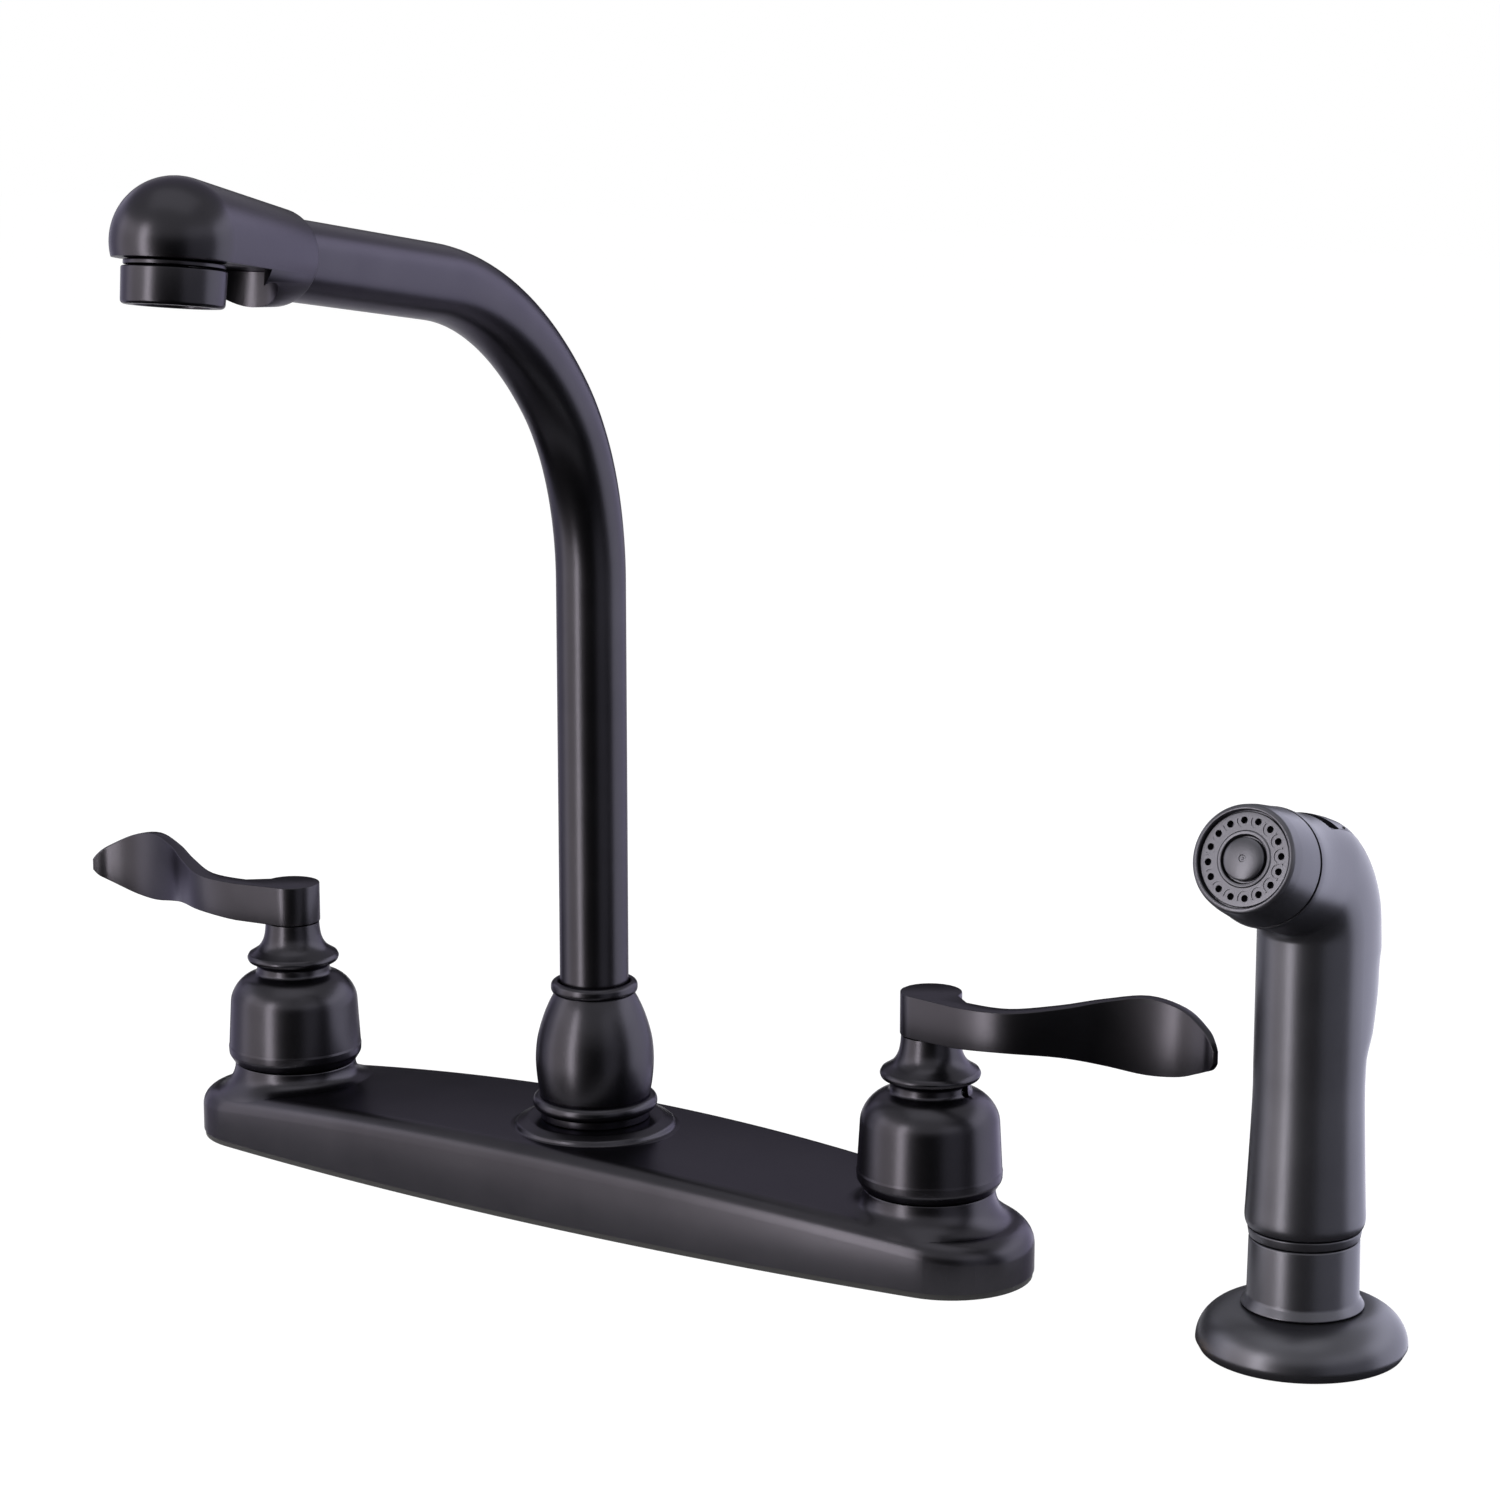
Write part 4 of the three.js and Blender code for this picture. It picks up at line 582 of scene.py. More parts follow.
def onArch(boss, foot, top):
    # the boss's flare melts into the arched plate, and its top stays level
    for vert in boss.verts:
        x, y, z = vert.co / mm
        share = min(1, max(0, (top - z) / (top - foot)))
        vert.co.z += (crownRise(x) - edgeDrop(x, y)) * share ** 2 * mm
    return boss


def buildHandleBoss(sideSign):
    radius, foot, top = plate["handleBoss"], plate["top"], plate["handleBossTop"]
    flare = plate["handleBossFlare"]
    boss = spinSolid([
        (0, foot - plate["sunk"]), (radius + flare, foot - plate["sunk"]),
        (radius + flare, foot - plate["handleBossSkirt"]), (radius, foot, flare),
        (radius, top, plate["handleBossEdge"]), (0, top),
    ])
    return onArch(moved(boss, shift(sideSign * layout["holePitch"], 0, 0)), foot, top)


def buildSpoutBoss():
    foot = plate["top"] + plate["crown"]
    corners = [(plate["spoutBoss"] + reach, foot + rise, *rounding)
               for reach, rise, *rounding in plate["spoutBossCorners"]]
    return spinSolid([(0, corners[0][1]), *corners, (0, corners[-1][1])])


addPiece("deckPlateCasting", joined(buildPlate(), buildHandleBoss(-1), buildHandleBoss(1), buildSpoutBoss()),
         "deck_unit", finishes["bronze"], ["deck_plate"])
addPiece("deckPlateGasket", raisedOutline(0, plate["foot"] - plate["gasketGap"], plate["gasketInset"]),
         "deck_unit", finishes["rubber"], ["deck_gasket"])
print("deck plate done")

# a turned piece's corners are given as radius, height and rounding
bonnet = {
    "bore": (9.1, 22.3),
    "waist": [(14.2, 22.3, 0.3), (14.2, 24.6, 0.5)],  # the dark undercut above the plate
    "ring": [(16.2, 24.8, 1.7), (16.2, 28.3, 1.7)],
    # the egg-shaped body swells from the ring and rolls in over its full shoulder
    "vase": [(14.25, 28.3), (14.8, 31.03), (15.23, 34.852), (15.35, 38.674), (15, 42.769), (14.2, 46.318),
             (13.05, 49.867), (11.65, 53.143), (10.3, 55.6)],
    "vaseSteps": 5,
    "bead": [(11.25, 55.7, 1.35), (11.25, 58.8, 1.35)],
    "mouth": [(9.4, 58.8, 0.6), (9.1, 57.6)],
}


def buildBonnet():
    b = bonnet
    return spinSolid([b["bore"], *b["waist"], *b["ring"], *smoothLine(b["vase"], b["vaseSteps"]),
                      *b["bead"], *b["mouth"]])


addPiece("spoutBonnetVase", buildBonnet(), "deck_unit", finishes["bronze"],
         ["spout_bonnet"])
print("bonnet done")

bell = {
    "bore": 4.8,
    "corners": [
        (16.7, 21.6, 0.5),  # foot
        (18, 23.7, 1.6),  # bead round the foot
        (18.1, 25.7, 0.6),
        (17.95, 26.3, 0.3),  # side
        (16.95, 43.5, 8),  # shoulder
        (9.9, 46.1, 1.2),  # neck
        (9.9, 48.6, 1),
        (12.1, 49.4, 0.7),  # ring
        (12.5, 50.5, 0.6),
    ],
    # the collar sweeps in from the ring up to the lever
    "collar": [(12, 51.4), (10.7, 52.2), (9.5, 53.1), (8.5, 54.4), (7.8, 56.1), (7.45, 58.1), (7.3, 60.1)],
    "collarSteps": 4,
    "screwHole": 1.6,
    "screwPlace": (11.4, 47.2),  # out from the bell's axis, and up
    "screwDepth": 12,
    "screwSides": 40,
}


def buildBell(sideSign):
    b = bell
    foot, top = b["corners"][0][1], b["collar"][-1][1]
    body = spinSolid([(b["bore"], foot), *b["corners"], *smoothLine(b["collar"], b["collarSteps"]),
                      (b["bore"], top)])
    hole = drill(b["screwHole"], -b["screwDepth"] / 2, b["screwDepth"] / 2, b["screwSides"])
    out, height = b["screwPlace"]
    moved(hole, turn(90, "Y"), shift(sideSign * out, 0, height))
    return moved(carve(body, hole), shift(sideSign * layout["holePitch"], 0, 0))


blade = {
    "hub": 7.6,
    "hubFoot": 60.4,
    "hubTop": 71.0,
    "hubSteps": 14,
    # round the hub the front point turns this far from 180 degrees, and the back point to the notch
    "frontTurn": 90,
    "backTurn": 192,
    "edge": 0.6,  # rounding of its edges
    "edgeSteps": 3,
    # along the blade from the hub's axis: distance, middle line, thickness, top, bottom
    "stations": [
        (1.5, -4.1, 6.8, 71.0, 60.4), (12.2, -7.0, 5.8, 71.0, 60.7), (25.1, -6.5, 4.7, 71.3, 61.3),
        (36.5, -0.9, 3.8, 72.8, 60.6), (45.6, 4.3, 3.0, 74.7, 58.8), (55.5, 7.7, 2.95, 76.2, 57.2),
        (64.6, 8.4, 2.6, 74.5, 57.9), (71.4, 6.2, 2.1, 71.3, 60.5), (74.5, 4.2, 1.7, 69.0, 62.2),
        (76.0, 3.1, 1.4, 67.0, 64.0),
    ],
    "stationSteps": 5,
    "sharpAngle": 50,  # edges sharper than this are rounded
}


def hubSections():
    # front point, back point, top and bottom, on the way round the hub
    b = blade
    sections = []
    for k in range(1, b["hubSteps"]):
        share = k / b["hubSteps"]
        front = math.radians(180 + b["frontTurn"] * share)
        back = math.radians(180 - b["backTurn"] * share)
        sections.append((Vector((math.cos(front), math.sin(front))) * b["hub"],
                         Vector((math.cos(back), math.sin(back))) * b["hub"], b["hubTop"], b["hubFoot"]))
    return sections


def bladeSections():
    # the same for the blade, square to its middle line; its first span lies in the hub
    rows = smoothLine(blade["stations"], blade["stationSteps"])
    sections = []
    for i in range(blade["stationSteps"], len(rows)):
        along, middle, thickness, top, bottom = rows[i]
        ahead = Vector(rows[min(i + 1, len(rows) - 1)][:2]) - Vector(rows[i - 1][:2])
        across = Vector((-ahead.y, ahead.x)).normalized() * thickness / 2
        centre = Vector((along, middle))
        sections.append((centre - across, centre + across, top, bottom))
    return sections


def sectionCorners(front, back, top, bottom):
    return [Vector((point.x, point.y, height)) * mm
            for point, height in ((front, bottom), (back, bottom), (back, top), (front, top))]


def buildLever(sideSign):
    sections = hubSections() + bladeSections()
    mesh = bmesh.new()
    verts = [mesh.verts.new(place) for place in sectionCorners(*sections[0])]
    mesh.faces.new(verts)
    ring = [mesh.edges.get((verts[i - 1], verts[i])) for i in range(4)]
    for section in sections[1:]:
        ring, verts = growRing(mesh, ring, verts)
        for vert, place in zip(verts, sectionCorners(*section)):
            vert.co = place
    mesh.faces.new(verts)
    bmesh.ops.recalc_face_normals(mesh, faces=mesh.faces[:])
    bevelSharp(mesh, blade["edge"], blade["edgeSteps"], blade["sharpAngle"])
    if sideSign < 0:
        moved(mesh, Matrix.Scale(-1, 4, (1, 0, 0)))
    return moved(mesh, shift(sideSign * layout["holePitch"], 0, 0))


for label, sideSign in (("left", -1), ("right", 1)):
    body = label + "_handle"
    addPiece(label + "Bell", buildBell(sideSign), body, finishes["bronze"],
             ["handle_base_" + label])
    addPiece(label + "LeverBlade", buildLever(sideSign), body, finishes["bronze"],
             ["lever_" + label])
print("handles done")

spout = {
    "tube": 8.9,
    "tubeSides": 64,
    "foot": 44,
    "riserTop": 163,
    # two bends, in degrees and mm, lead into an arm that still climbs by the slope
    "lowerRadius": 69,
    "lowerTurn": 45,
    "lowerSteps": 20,
    "upperRadius": 121,
    "upperSteps": 24,
    "slope": 8.5,
    "armLength": 112.8,
}
# the head lies along its own X axis with the middle of its dome at zero
head = {
    "rear": 10.4,
    "rearRound": 1.3,
    "dome": 13.4,
    "domeSteps": 24,
    "length": 42.1,
    "socket": 8,  # the tube goes into it by this much
    "floor": 3.7,  # the notch for the aerator ends this far below the axis
    "notch": 19.8,
    "notchEnd": 22.5,  # behind, the notch runs on as a round pocket
    "notchRound": 10,
    "notchSize": (60, 60, 30),  # of the cutter, which reaches well past the head
    "pocketSides": 64,
    "edge": 0.35,
    "edgeSteps": 2,
    "sharpAngle": 45,
}
aerator = {
    "trimRing": [(7.9, -5), (10.4, -5, 0.25), (10.4, -4, 0.25), (7.9, -4)],
    "ringSides": 64,
    "shell": [(7.9, -13, 0.3), (10.6, -13, 0.9), (10.8, -5.3, 0.4), (8.9, -5.3), (8.9, -12), (7.9, -12)],
}


def spoutArm():
    # start of the straight arm, in the spout's own upright plane
    lower, upper = spout["lowerRadius"], spout["upperRadius"]
    bend, slope = math.radians(spout["lowerTurn"]), math.radians(spout["slope"])
    x = lower * (1 - math.cos(bend)) + upper * (math.cos(bend) - math.sin(slope))
    z = spout["riserTop"] + lower * math.sin(bend) + upper * (math.cos(slope) - math.sin(bend))
    return x, z


def buildTube():
    s = spout
    tube = bmesh.new()
    bmesh.ops.create_circle(tube, cap_ends=False, segments=s["tubeSides"], radius=s["tube"] * mm)
    moved(tube, shift(0, 0, s["foot"]))
    ring, verts = tube.edges[:], tube.verts[:]  # the tube's growing end

    def extend(vector):
        nonlocal ring, verts
        ring, verts = growRing(tube, ring, verts)
        bmesh.ops.translate(tube, verts=verts, vec=vector)

    def bend(centre, angle, steps):
        nonlocal ring, verts
        last = bmesh.ops.spin(tube, geom=verts + ring, cent=centre, axis=(0, 1, 0), angle=angle,
                              steps=steps, use_merge=False)["geom_last"]
        ring = [e for e in last if isinstance(e, bmesh.types.BMEdge)]
        verts = [v for v in last if isinstance(v, bmesh.types.BMVert)]

    x, z = spoutArm()
    lowerTurn, slope = math.radians(s["lowerTurn"]), math.radians(s["slope"])
    extend((0, 0, (s["riserTop"] - s["foot"]) * mm))
    bend((s["lowerRadius"] * mm, 0, s["riserTop"] * mm), lowerTurn, s["lowerSteps"])
    upperCentre = Vector((x + s["upperRadius"] * math.sin(slope), 0, z - s["upperRadius"] * math.cos(slope)))
    bend(upperCentre * mm, math.radians(90) - lowerTurn - slope, s["upperSteps"])
    run = s["armLength"] - head["length"] + head["socket"]
    extend(Vector((math.cos(slope), 0, math.sin(slope))) * run * mm)
    bmesh.ops.holes_fill(tube, edges=tube.edges[:], sides=0)
    return cleanUp(tube)


def buildHead():
    # a cone with a domed end, turned upright, laid down and cut open below
    h = head
    taper = math.asin((h["dome"] - h["rear"]) / h["length"])
    blank = profileWire([(0, -h["length"]), (h["rear"], -h["length"], h["rearRound"]),
                         (h["dome"] * math.cos(taper), -h["dome"] * math.sin(taper))], closed=False)
    tip = max(blank.verts, key=lambda v: v.co.z)
    bmesh.ops.spin(blank, geom=[tip], cent=(0, 0, 0), axis=(0, -1, 0),
                   angle=math.radians(90) + taper, steps=h["domeSteps"], use_merge=False)
    bmesh.ops.spin(blank, geom=blank.verts[:] + blank.edges[:], cent=(0, 0, 0), axis=(0, 0, 1),
                   angle=fullTurn, steps=roundSteps, use_merge=True)
    cleanUp(blank)
    moved(blank, turn(90, "Y"))
    length, _, depth = h["notchSize"]
    notch = moved(block(*h["notchSize"]), shift(length / 2 - h["notch"], 0, -h["floor"] - depth / 2))
    pocket = moved(drill(h["notchRound"], -h["floor"] - depth, -h["floor"], h["pocketSides"]),
                   shift(-h["notchEnd"], 0, 0))
    return bevelSharp(carve(blank, notch, pocket), h["edge"], h["edgeSteps"], h["sharpAngle"])


def placeHead(mesh):
    # from the head's own axes to the end of the arm, then round the riser
    x, z = spoutArm()
    slope = math.radians(spout["slope"])
    x += spout["armLength"] * math.cos(slope)
    z += spout["armLength"] * math.sin(slope)
    return moved(mesh, turn(-spout["slope"], "Y"), shift(x, 0, z), turn(layout["spoutHeading"], "Z"))


for name, mesh, node in (
    ("spoutTubeBent", moved(buildTube(), turn(layout["spoutHeading"], "Z")), "spout_tube"),
    ("spoutHeadCasting", placeHead(buildHead()), "spout_head"),
    ("aeratorTrimRing", placeHead(spinSolid(aerator["trimRing"], aerator["ringSides"])), "aerator_ring"),
    ("aeratorShell", placeHead(spinSolid(aerator["shell"])), "aerator_housing"),
):
    addPiece(name, mesh, "spout", finishes["bronze"], [node])
print("spout done")

# the sprayer is modelled on its own axis and moved to its hole at the end
flange = {
    "foot": [(22.3, 0), (23.6, 0, 0.5)],
    "radius": 24.7,
    "rimHeight": 2,
    "top": 10.9,
    "domeEdge": 14.85,  # radius where the dome ends beside the guide
    "domeTurn": 85,  # degrees that the dome's line is drawn through, and the step
    "domeStep": 5,
    "inside": [(14.85, 10.9), (11.3, 10.7), (11.3, 8.5), (14.55, 8.5), (19.9, 3)],
}
guide = [
    (9.3, -32),  # bore
    (11, -32, 0.5),  # shank through the deck
    (11, 11.2),
    (14.55, 11.2, 0.3),  # foot on the flange
    (13.1, 13.5, 1.5),
    (12.9, 27.5, 0.5),  # sleeve
    (9.3, 27.5, 0.5),
]
hoseCollar = [
    (5, 17.8), (9, 17.8, 0.8),  # spigot in the guide
    (9, 27.8), (12.9, 27.8, 0.3), (13.3, 30, 0.3),  # band that shows
    (5, 30),
]
wand = {
    "sides": 72,
    "steps": 3,
    "elbowStart": 100.1,
    "elbowRadius": 16,  # of its middle line
    "tilt": 20,  # degrees that the nozzle looks down
    "reach": 16.5,  # from the end of the bend to the nozzle
    # half width and reach of the back, by height above the deck
    "upright": [
        (30.3, 13, 13), (30.6, 13.5, 13.5), (31.7, 13.9, 13.9), (33.3, 14, 14), (38.3, 13.75, 13.75),
        (60, 12.9, 12.9), (69, 12.9, 12.9),
        (72, 12.9, 13.8), (76, 12.9, 16.095), (81, 12.9, 18.225), (86, 12.9, 19.645), (91, 12.9, 20),
        (93.9, 12.9, 20.8), (95.4, 12.9, 21.3),
    ],
    # the same by share of the bend
    "bend": [(0, 12.9, 20.7), (0.15, 12.9, 20.2), (0.3, 12.9, 19.2), (0.5, 12.9, 17.8), (0.75, 12.9, 16.4),
             (1, 13, 15)],
    # the same by distance past the bend
    "arm": [(9.075, 13.35, 13.85), (15.9, 13.85, 13.85), (16.5, 13.45, 13.45)],
    # where the back reaches out past the half width, the section grows squarer
    "squarePower": 2.4,
    "squareFrom": 0.01,
    "squareFully": 3,
}
# the nozzle's pieces lie along Z, away from the wand
nozzle = {
    "collar": [(9.87, 0.3), (13.65, 0.3, 0.5), (12.8, 8.64, 10), (12.2, 12, 1), (11, 12, 0.35), (11, 10.25),
               (9.87, 10.25)],
    "face": [
        (0, 8.45), (10.7, 8.45), (10.7, 11.03, 0.25),  # low rim with the jets
        (9.3, 11.03), (9.3, 11.25),  # raised disc
        (6.5, 11.25), (6.2, 11.5, 0.12), (5.55, 11.45, 0.2),  # ring round the button
        (5.2, 10.25), (0, 10.25),
    ],
    "lowRim": 11.03,
    "cutTop": 12.25,  # the cutters end above the face
    "jets": 16,
    "jetCircle": 8.75,
    "jet": 0.82,
    "jetFoot": 8.85,
    "jetSides": 16,
    "lobe": 1.66,
    "lobeSides": 20,
    "button": 4.9,
    "buttonFoot": 10.55,
    "buttonSide": 11.45,
    "buttonTop": 12.35,
    "buttonSides": 64,
    "buttonDome": (84, 12, -8),  # degrees from its axis: first, limit and step
    "dimple": [(0.85, 12.33), (0.7, 12.15), (0.35, 12.15), (0.25, 12.27), (0, 12.27)],
}


def atSprayer(mesh):
    return moved(mesh, shift(2 * layout["holePitch"], 0, 0))


def onNozzle(mesh):
    slope, bendTurn = math.radians(wand["tilt"]), math.radians(90 - wand["tilt"])
    radius, reach = wand["elbowRadius"], wand["reach"]
    y = -radius + radius * math.cos(bendTurn) - reach * math.cos(slope)
    z = wand["elbowStart"] + radius * math.sin(bendTurn) + reach * math.sin(slope)
    return atSprayer(moved(mesh, turn(90 - wand["tilt"], "X"), shift(0, y, z)))


def buildFlange():
    # a smooth dome from the rim to the hole's edge
    f = flange
    dome = []
    for degrees in range(0, f["domeTurn"] + 1, f["domeStep"]):
        angle = math.radians(degrees)
        dome.append((f["domeEdge"] + (f["radius"] - f["domeEdge"]) * math.cos(angle),
                     f["rimHeight"] + (f["top"] - f["rimHeight"]) * math.sin(angle)))
    return spinSolid([*f["foot"], *dome, *f["inside"]])


def wandPoint(travel):
    # middle of the wand and the direction to its back, after this much travel from the elbow's start
    slope, bendTurn = math.radians(wand["tilt"]), math.radians(90 - wand["tilt"])
    radius = wand["elbowRadius"]
    angle = min(max(travel / radius, 0), bendTurn)
    back = Vector((0, math.cos(angle), math.sin(angle)))
    centre = Vector((0, -radius, wand["elbowStart"])) + back * radius
    if travel < 0:
        centre.z += travel
    past = travel - radius * bendTurn
    if past > 0:
        centre += Vector((0, -math.cos(slope), math.sin(slope))) * past
    return centre, back


def wandSections():
    # travel, half width, reach of the back
    bend = wand["elbowRadius"] * math.radians(90 - wand["tilt"])
    rows = [(height - wand["elbowStart"], half, back) for height, half, back in wand["upright"]]
    rows += [(share * bend, half, back) for share, half, back in wand["bend"]]
    rows += [(bend + past, half, back) for past, half, back in wand["arm"]]
    return smoothLine(rows, wand["steps"])


def wandCorner(angle, half, rear):
    # one corner of a section: across, and towards the back
    sine, cosine = math.sin(angle), math.cos(angle)
    power = 1
    if sine > 0 and rear > half + wand["squareFrom"]:
        blend = min(1, (rear - half) / wand["squareFully"])
        power = 1 - blend * (1 - 2 / wand["squarePower"])
    across = math.copysign(abs(cosine) ** power, cosine) * half
    deep = math.copysign(abs(sine) ** power, sine) * (rear if sine > 0 else half)
    return across, deep


def buildWand():
    mesh = bmesh.new()
    bmesh.ops.create_circle(mesh, cap_ends=False, segments=wand["sides"], radius=1)
    ring, verts = mesh.edges[:], mesh.verts[:]
    angles = [math.atan2(v.co.y, v.co.x) for v in verts]
    for i, (travel, half, rear) in enumerate(wandSections()):
        if i:
            ring, verts = growRing(mesh, ring, verts)
        centre, back = wandPoint(travel)
        for vert, angle in zip(verts, angles):
            across, deep = wandCorner(angle, half, rear)
            vert.co = (centre + back * deep + Vector((across, 0, 0))) * mm
    bmesh.ops.holes_fill(mesh, edges=mesh.edges[:], sides=0)
    return cleanUp(mesh)


def buildNozzleFace():
    # the jets sit in round lobes that bite into the raised disc
    n = nozzle
    lobes, jets = [], []
    for k in range(n["jets"]):
        spot, around = shift(n["jetCircle"], 0, 0), turn(360 * (k + 0.5) / n["jets"], "Z")
        lobes.append(moved(drill(n["lobe"], n["lowRim"], n["cutTop"], n["lobeSides"]), spot, around))
        jets.append(moved(drill(n["jet"], n["jetFoot"], n["cutTop"], n["jetSides"]), spot, around))
    return carve(spinSolid(n["face"]), joined(*lobes), joined(*jets))


def buildButton():
    # a domed cap with a small ringed dimple
    n = nozzle
    side, top = n["buttonSide"], n["buttonTop"]
    dome = [(n["button"] * math.sin(math.radians(a)), side + (top - side) * math.cos(math.radians(a)))
            for a in range(*n["buttonDome"])]
    return spinSolid([(0, n["buttonFoot"]), (n["button"], n["buttonFoot"]), (n["button"], side - tolerance),
                      *dome, *n["dimple"]], n["buttonSides"])


# the trigger is a slice of the wand's own back, hinged on a cross pin in a pocket
rearTrigger = {
    "width": 16,
    "play": 0.3,  # round the trigger in its pocket
    "overcut": 1,  # a cutter runs past what it cuts by this much
    "slit": 0.45,  # at its foot
    "thickness": 3,
    "back": 20,  # reach of the back along the trigger, of its lip and of the elbow
    "lipBack": 21.3,
    "elbowBack": 15.2,
    "front": -11,
    "partingHeight": 74,  # its foot is cut at 45 degrees, and would meet the wand's axis here
    # pocket: radius of its floor from the elbow's centre, angles of the floor's corners, depth below
    "floor": 21,
    "frontAngle": 75,
    "floorAngles": (72, 50, 28),
    "floorBack": 7,
    "floorStep": 4,
    "foot": 85,
    # inside of the skin: angle of its front edge, then of its corners
    "skinFront": 80,
    "skinAngles": (68, 48),
    "skinTurn": (1, 30),  # farther out, and its angle
    # then back from the upright skin, and up from the elbow's start or the plunger
    "skinSteps": [(1.5, 2), (1.8, -4)],
    "skinFoot": 3.8,
    "lug": 2.6,
    "pin": 1.1,
    "pinReach": 24.2,
    "pinAngle": 53.2,
    "pinLength": 19,
    "pinEnds": 0.6,
    "webHalf": 2.3,
    "webAngles": (48, 62),
    "flush": 0.02,  # sides of web and lug lie this much inside the skin's
    "springSlot": 3.9,
    "springReach": 5.2,
    "springTop": 3.6,
    "chamber": 5,
    "chamberFoot": 29.3,
    "chamberTop": 103,
    "plungerHeight": 97,
    "plunger": 1.7,
}


def slabAcross(corners, width):
    # a solid drawn from the side, as [y, z] corners, and this wide across X
    slab = bmesh.new()
    face = bmesh.ops.contextual_create(slab, geom=[
        slab.verts.new(Vector((-width / 2, y, z)) * mm) for y, z in corners])["faces"]
    grown = bmesh.ops.extrude_face_region(slab, geom=face)["geom"]
    far = [v for v in grown if isinstance(v, bmesh.types.BMVert)]
    bmesh.ops.translate(slab, verts=far, vec=(width * mm, 0, 0))
    bmesh.ops.recalc_face_normals(slab, faces=slab.faces[:])
    return slab


def elbowPoint(radius, degrees):
    # back and up from the middle of the elbow's bend
    angle = math.radians(degrees)
    return -wand["elbowRadius"] + radius * math.cos(angle), wand["elbowStart"] + radius * math.sin(angle)


def acrossPin(radius, length):
    back, height = elbowPoint(rearTrigger["pinReach"], rearTrigger["pinAngle"])
    return moved(drill(radius, -length / 2, length / 2), turn(90, "Y"), shift(0, back, height))


def buildGrip():
    t = rearTrigger
    outside = 2 * t["lipBack"]
    above = wand["elbowStart"] + outside
    pocket = slabAcross([
        (t["front"], above), (t["front"], elbowPoint(t["floor"], t["frontAngle"])[1]),
        *[elbowPoint(t["floor"], degrees) for degrees in t["floorAngles"]],
        (t["floorBack"], t["chamberTop"] + t["overcut"]), (t["floorBack"], t["foot"]),
        (t["floorBack"] + t["floorStep"], t["foot"]), (outside, outside + t["partingHeight"]),
        (outside, above),
    ], t["width"] + 2 * t["play"])
    chamber = drill(t["chamber"], t["chamberFoot"], t["chamberTop"])
    passage = moved(drill(t["plunger"] + t["play"], 0, t["floorBack"] + t["overcut"]), turn(-90, "X"),
                    shift(0, 0, t["plungerHeight"]))
    pinHole = acrossPin(t["pin"] + t["play"] / 2, t["pinLength"] + t["pinEnds"])
    return carve(buildWand(), pocket, chamber, passage, pinHole)


def buildTrigger():
    t = rearTrigger
    outside = 2 * t["lipBack"]
    above = wand["elbowStart"] + outside
    skin = wand["elbowRadius"] + t["elbowBack"] - t["thickness"]
    inner = t["back"] - t["thickness"]
    parting = t["partingHeight"] + t["slit"] * math.sqrt(2)
    farther, turnAngle = t["skinTurn"]
    (upperStep, upperRise), (lowerStep, lowerRise) = t["skinSteps"]
    front = t["front"] + t["play"]
    blank = slabAcross([
        (front, above), (front, elbowPoint(skin, t["skinFront"])[1]),
        *[elbowPoint(skin, degrees) for degrees in t["skinAngles"]], elbowPoint(skin + farther, turnAngle),
        (inner - upperStep, wand["elbowStart"] + upperRise),
        (inner - lowerStep, t["plungerHeight"] + lowerRise),
        (inner - t["skinFoot"], inner - t["skinFoot"] + parting), (outside, outside + parting),
        (outside, above),
    ], t["width"])
    back, height = elbowPoint(t["pinReach"], t["pinAngle"])
    web = slabAcross([
        (back - t["webHalf"], height), (back + t["webHalf"], height),
        *[elbowPoint(skin + t["thickness"] / 2, degrees) for degrees in t["webAngles"]],
    ], t["width"] - t["flush"])
    lever = carve(buildWand(), blank, operation="INTERSECT")
    lever = carve(lever, acrossPin(t["lug"], t["width"] - 2 * t["flush"]), web, operation="UNION")
    slot = moved(block(t["springSlot"], 2 * t["springReach"], t["springTop"] + t["springReach"]),
                 shift(0, back + t["springReach"] / 2, height + (t["springTop"] - t["springReach"]) / 2))
    return carve(lever, acrossPin(t["pin"] + t["play"], t["width"] + 2 * t["overcut"]), slot)


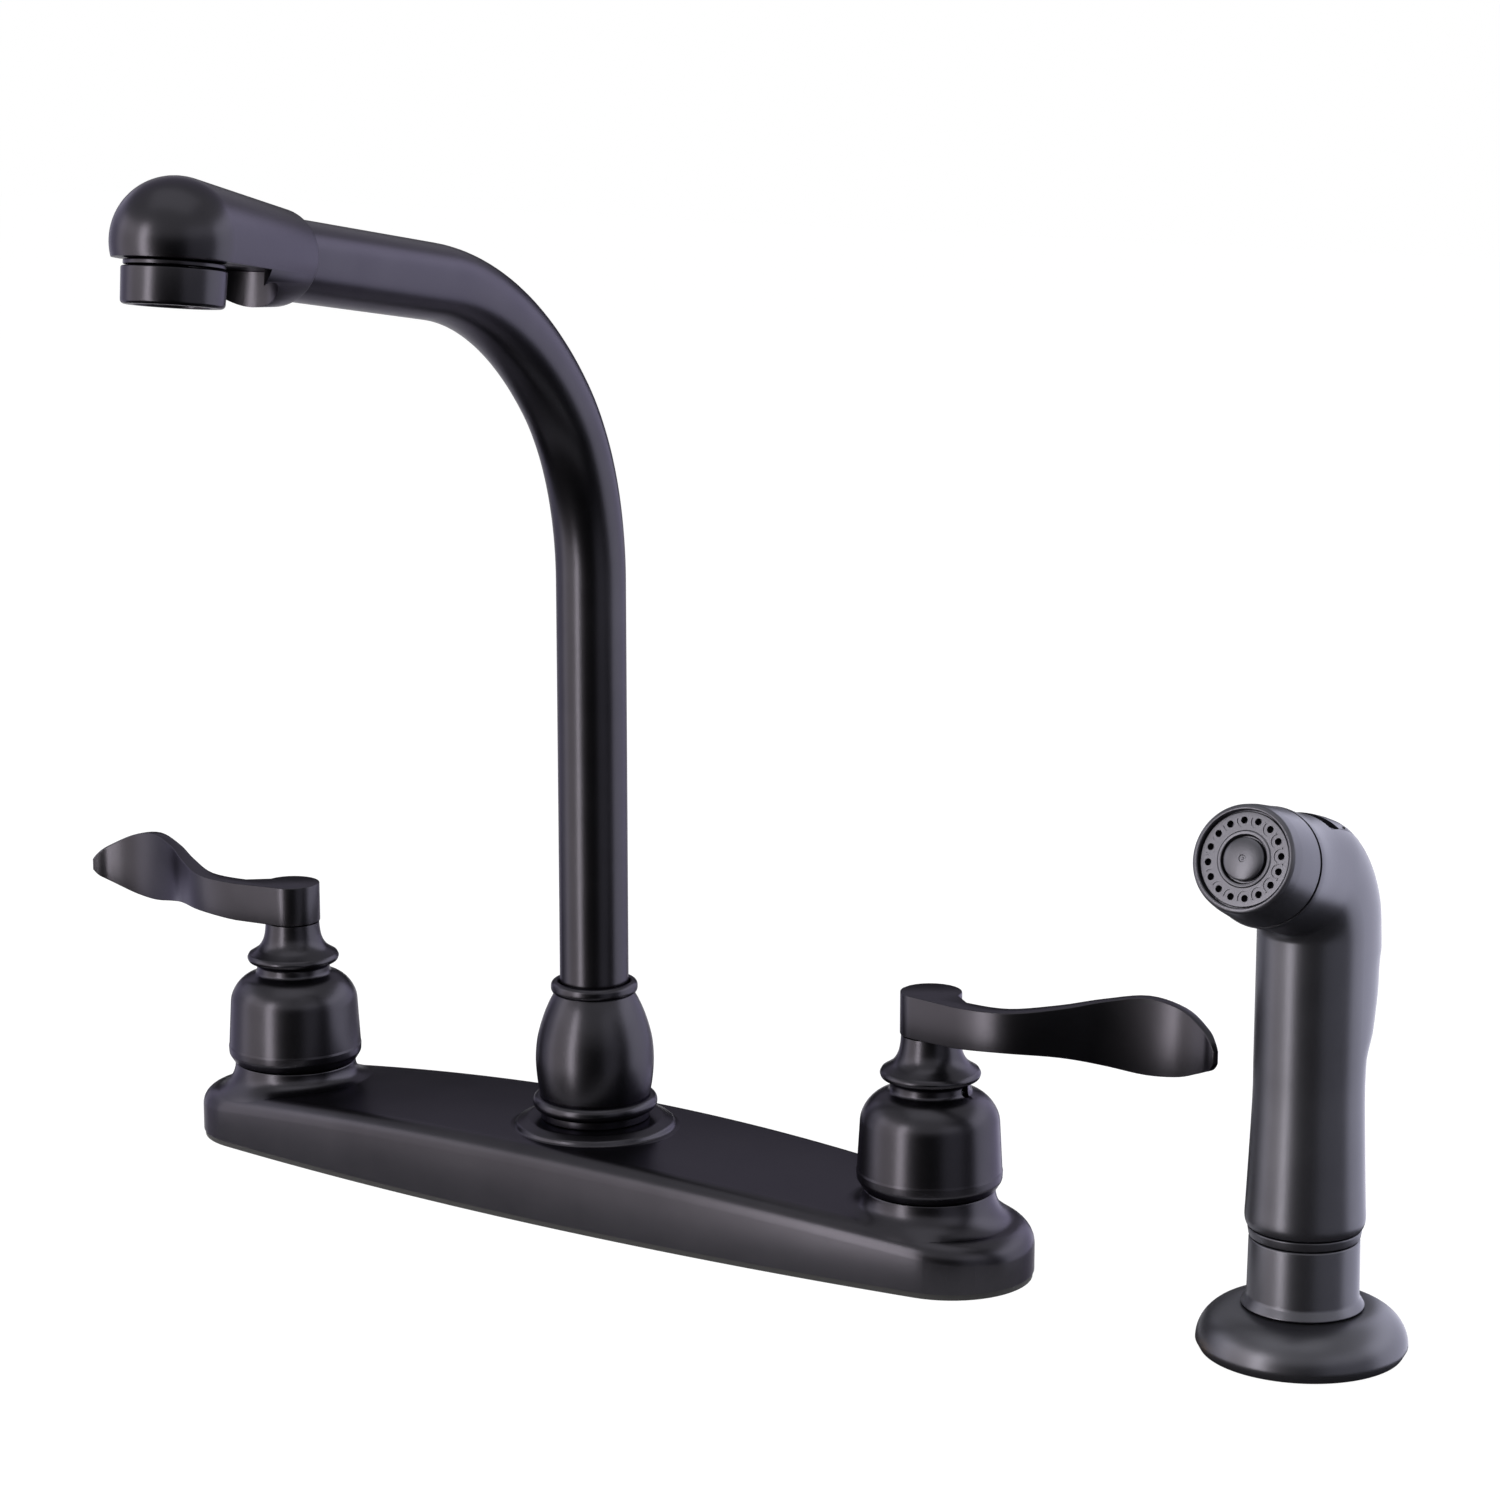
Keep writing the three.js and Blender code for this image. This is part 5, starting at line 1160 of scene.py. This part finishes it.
for name, mesh, body, node in (
    ("sprayerFlange", atSprayer(buildFlange()), "deck_unit", "spray_flange"),
    ("sprayerGuide", atSprayer(spinSolid(guide)), "deck_unit", "spray_guide"),
    ("sprayerHoseCollar", atSprayer(spinSolid(hoseCollar)), "wand", "hose_collar"),
    ("sprayerGrip", atSprayer(buildGrip()), "wand", "spray_body"),
    ("sprayerNozzleCollar", onNozzle(spinSolid(nozzle["collar"])), "wand", "nozzle_collar"),
    ("sprayerNozzleFace", onNozzle(buildNozzleFace()), "wand", "nozzle_face"),
    ("sprayerNozzleButton", onNozzle(buildButton()), "wand", "nozzle_button"),
    ("sprayerTrigger", atSprayer(buildTrigger()), "trigger", "trigger"),
):
    addPiece(name, mesh, body, finishes["sprayBronze"], [node])
print("sprayer done")

# threads below the deck: name, X place, radius, foot, top, pitch, finish, slot
threads = [
    ("leftShankThread", -layout["holePitch"], 10.4, -44, -3, 1.8, "brass", "raw_brass"),
    ("rightShankThread", layout["holePitch"], 10.4, -44, -3, 1.8, "brass", "raw_brass"),
    ("hoseNippleThread", 0, 6.6, -27, -17, 1.4, "brass", "raw_brass"),
    ("guideShankThread", 2 * layout["holePitch"], 11, -31, -3, 2.4, "sprayBronze", "coated_abs"),
]
crestShape = {
    "rise": 0.24,
    "sunk": 0.15,
    "halfWidth": 0.36,  # as a share of the pitch
    "perTurn": 32,
}


def buildThread(radius, foot, top, pitch):
    # one crest wound up the shank
    c = crestShape
    crest = bmesh.new()
    half = pitch * c["halfWidth"]
    corners = [crest.verts.new(Vector(place) * mm) for place in
               ((radius - c["sunk"], 0, foot - half), (radius + c["rise"], 0, foot),
                (radius - c["sunk"], 0, foot + half))]
    start = crest.faces.new(corners)
    steps = round((top - foot) / pitch * c["perTurn"])
    bmesh.ops.spin(crest, geom=[start], cent=(0, 0, 0), axis=(0, 0, 1),
                   dvec=(0, 0, pitch / c["perTurn"] * mm), angle=fullTurn * steps / c["perTurn"],
                   steps=steps, use_merge=False)
    return cleanUp(crest)


for name, x, radius, foot, top, pitch, finish, slotName in threads:
    addPiece(name, moved(buildThread(radius, foot, top, pitch), shift(x, 0, 0)), "deck_unit",
             finishes[finish])
print("threads done")
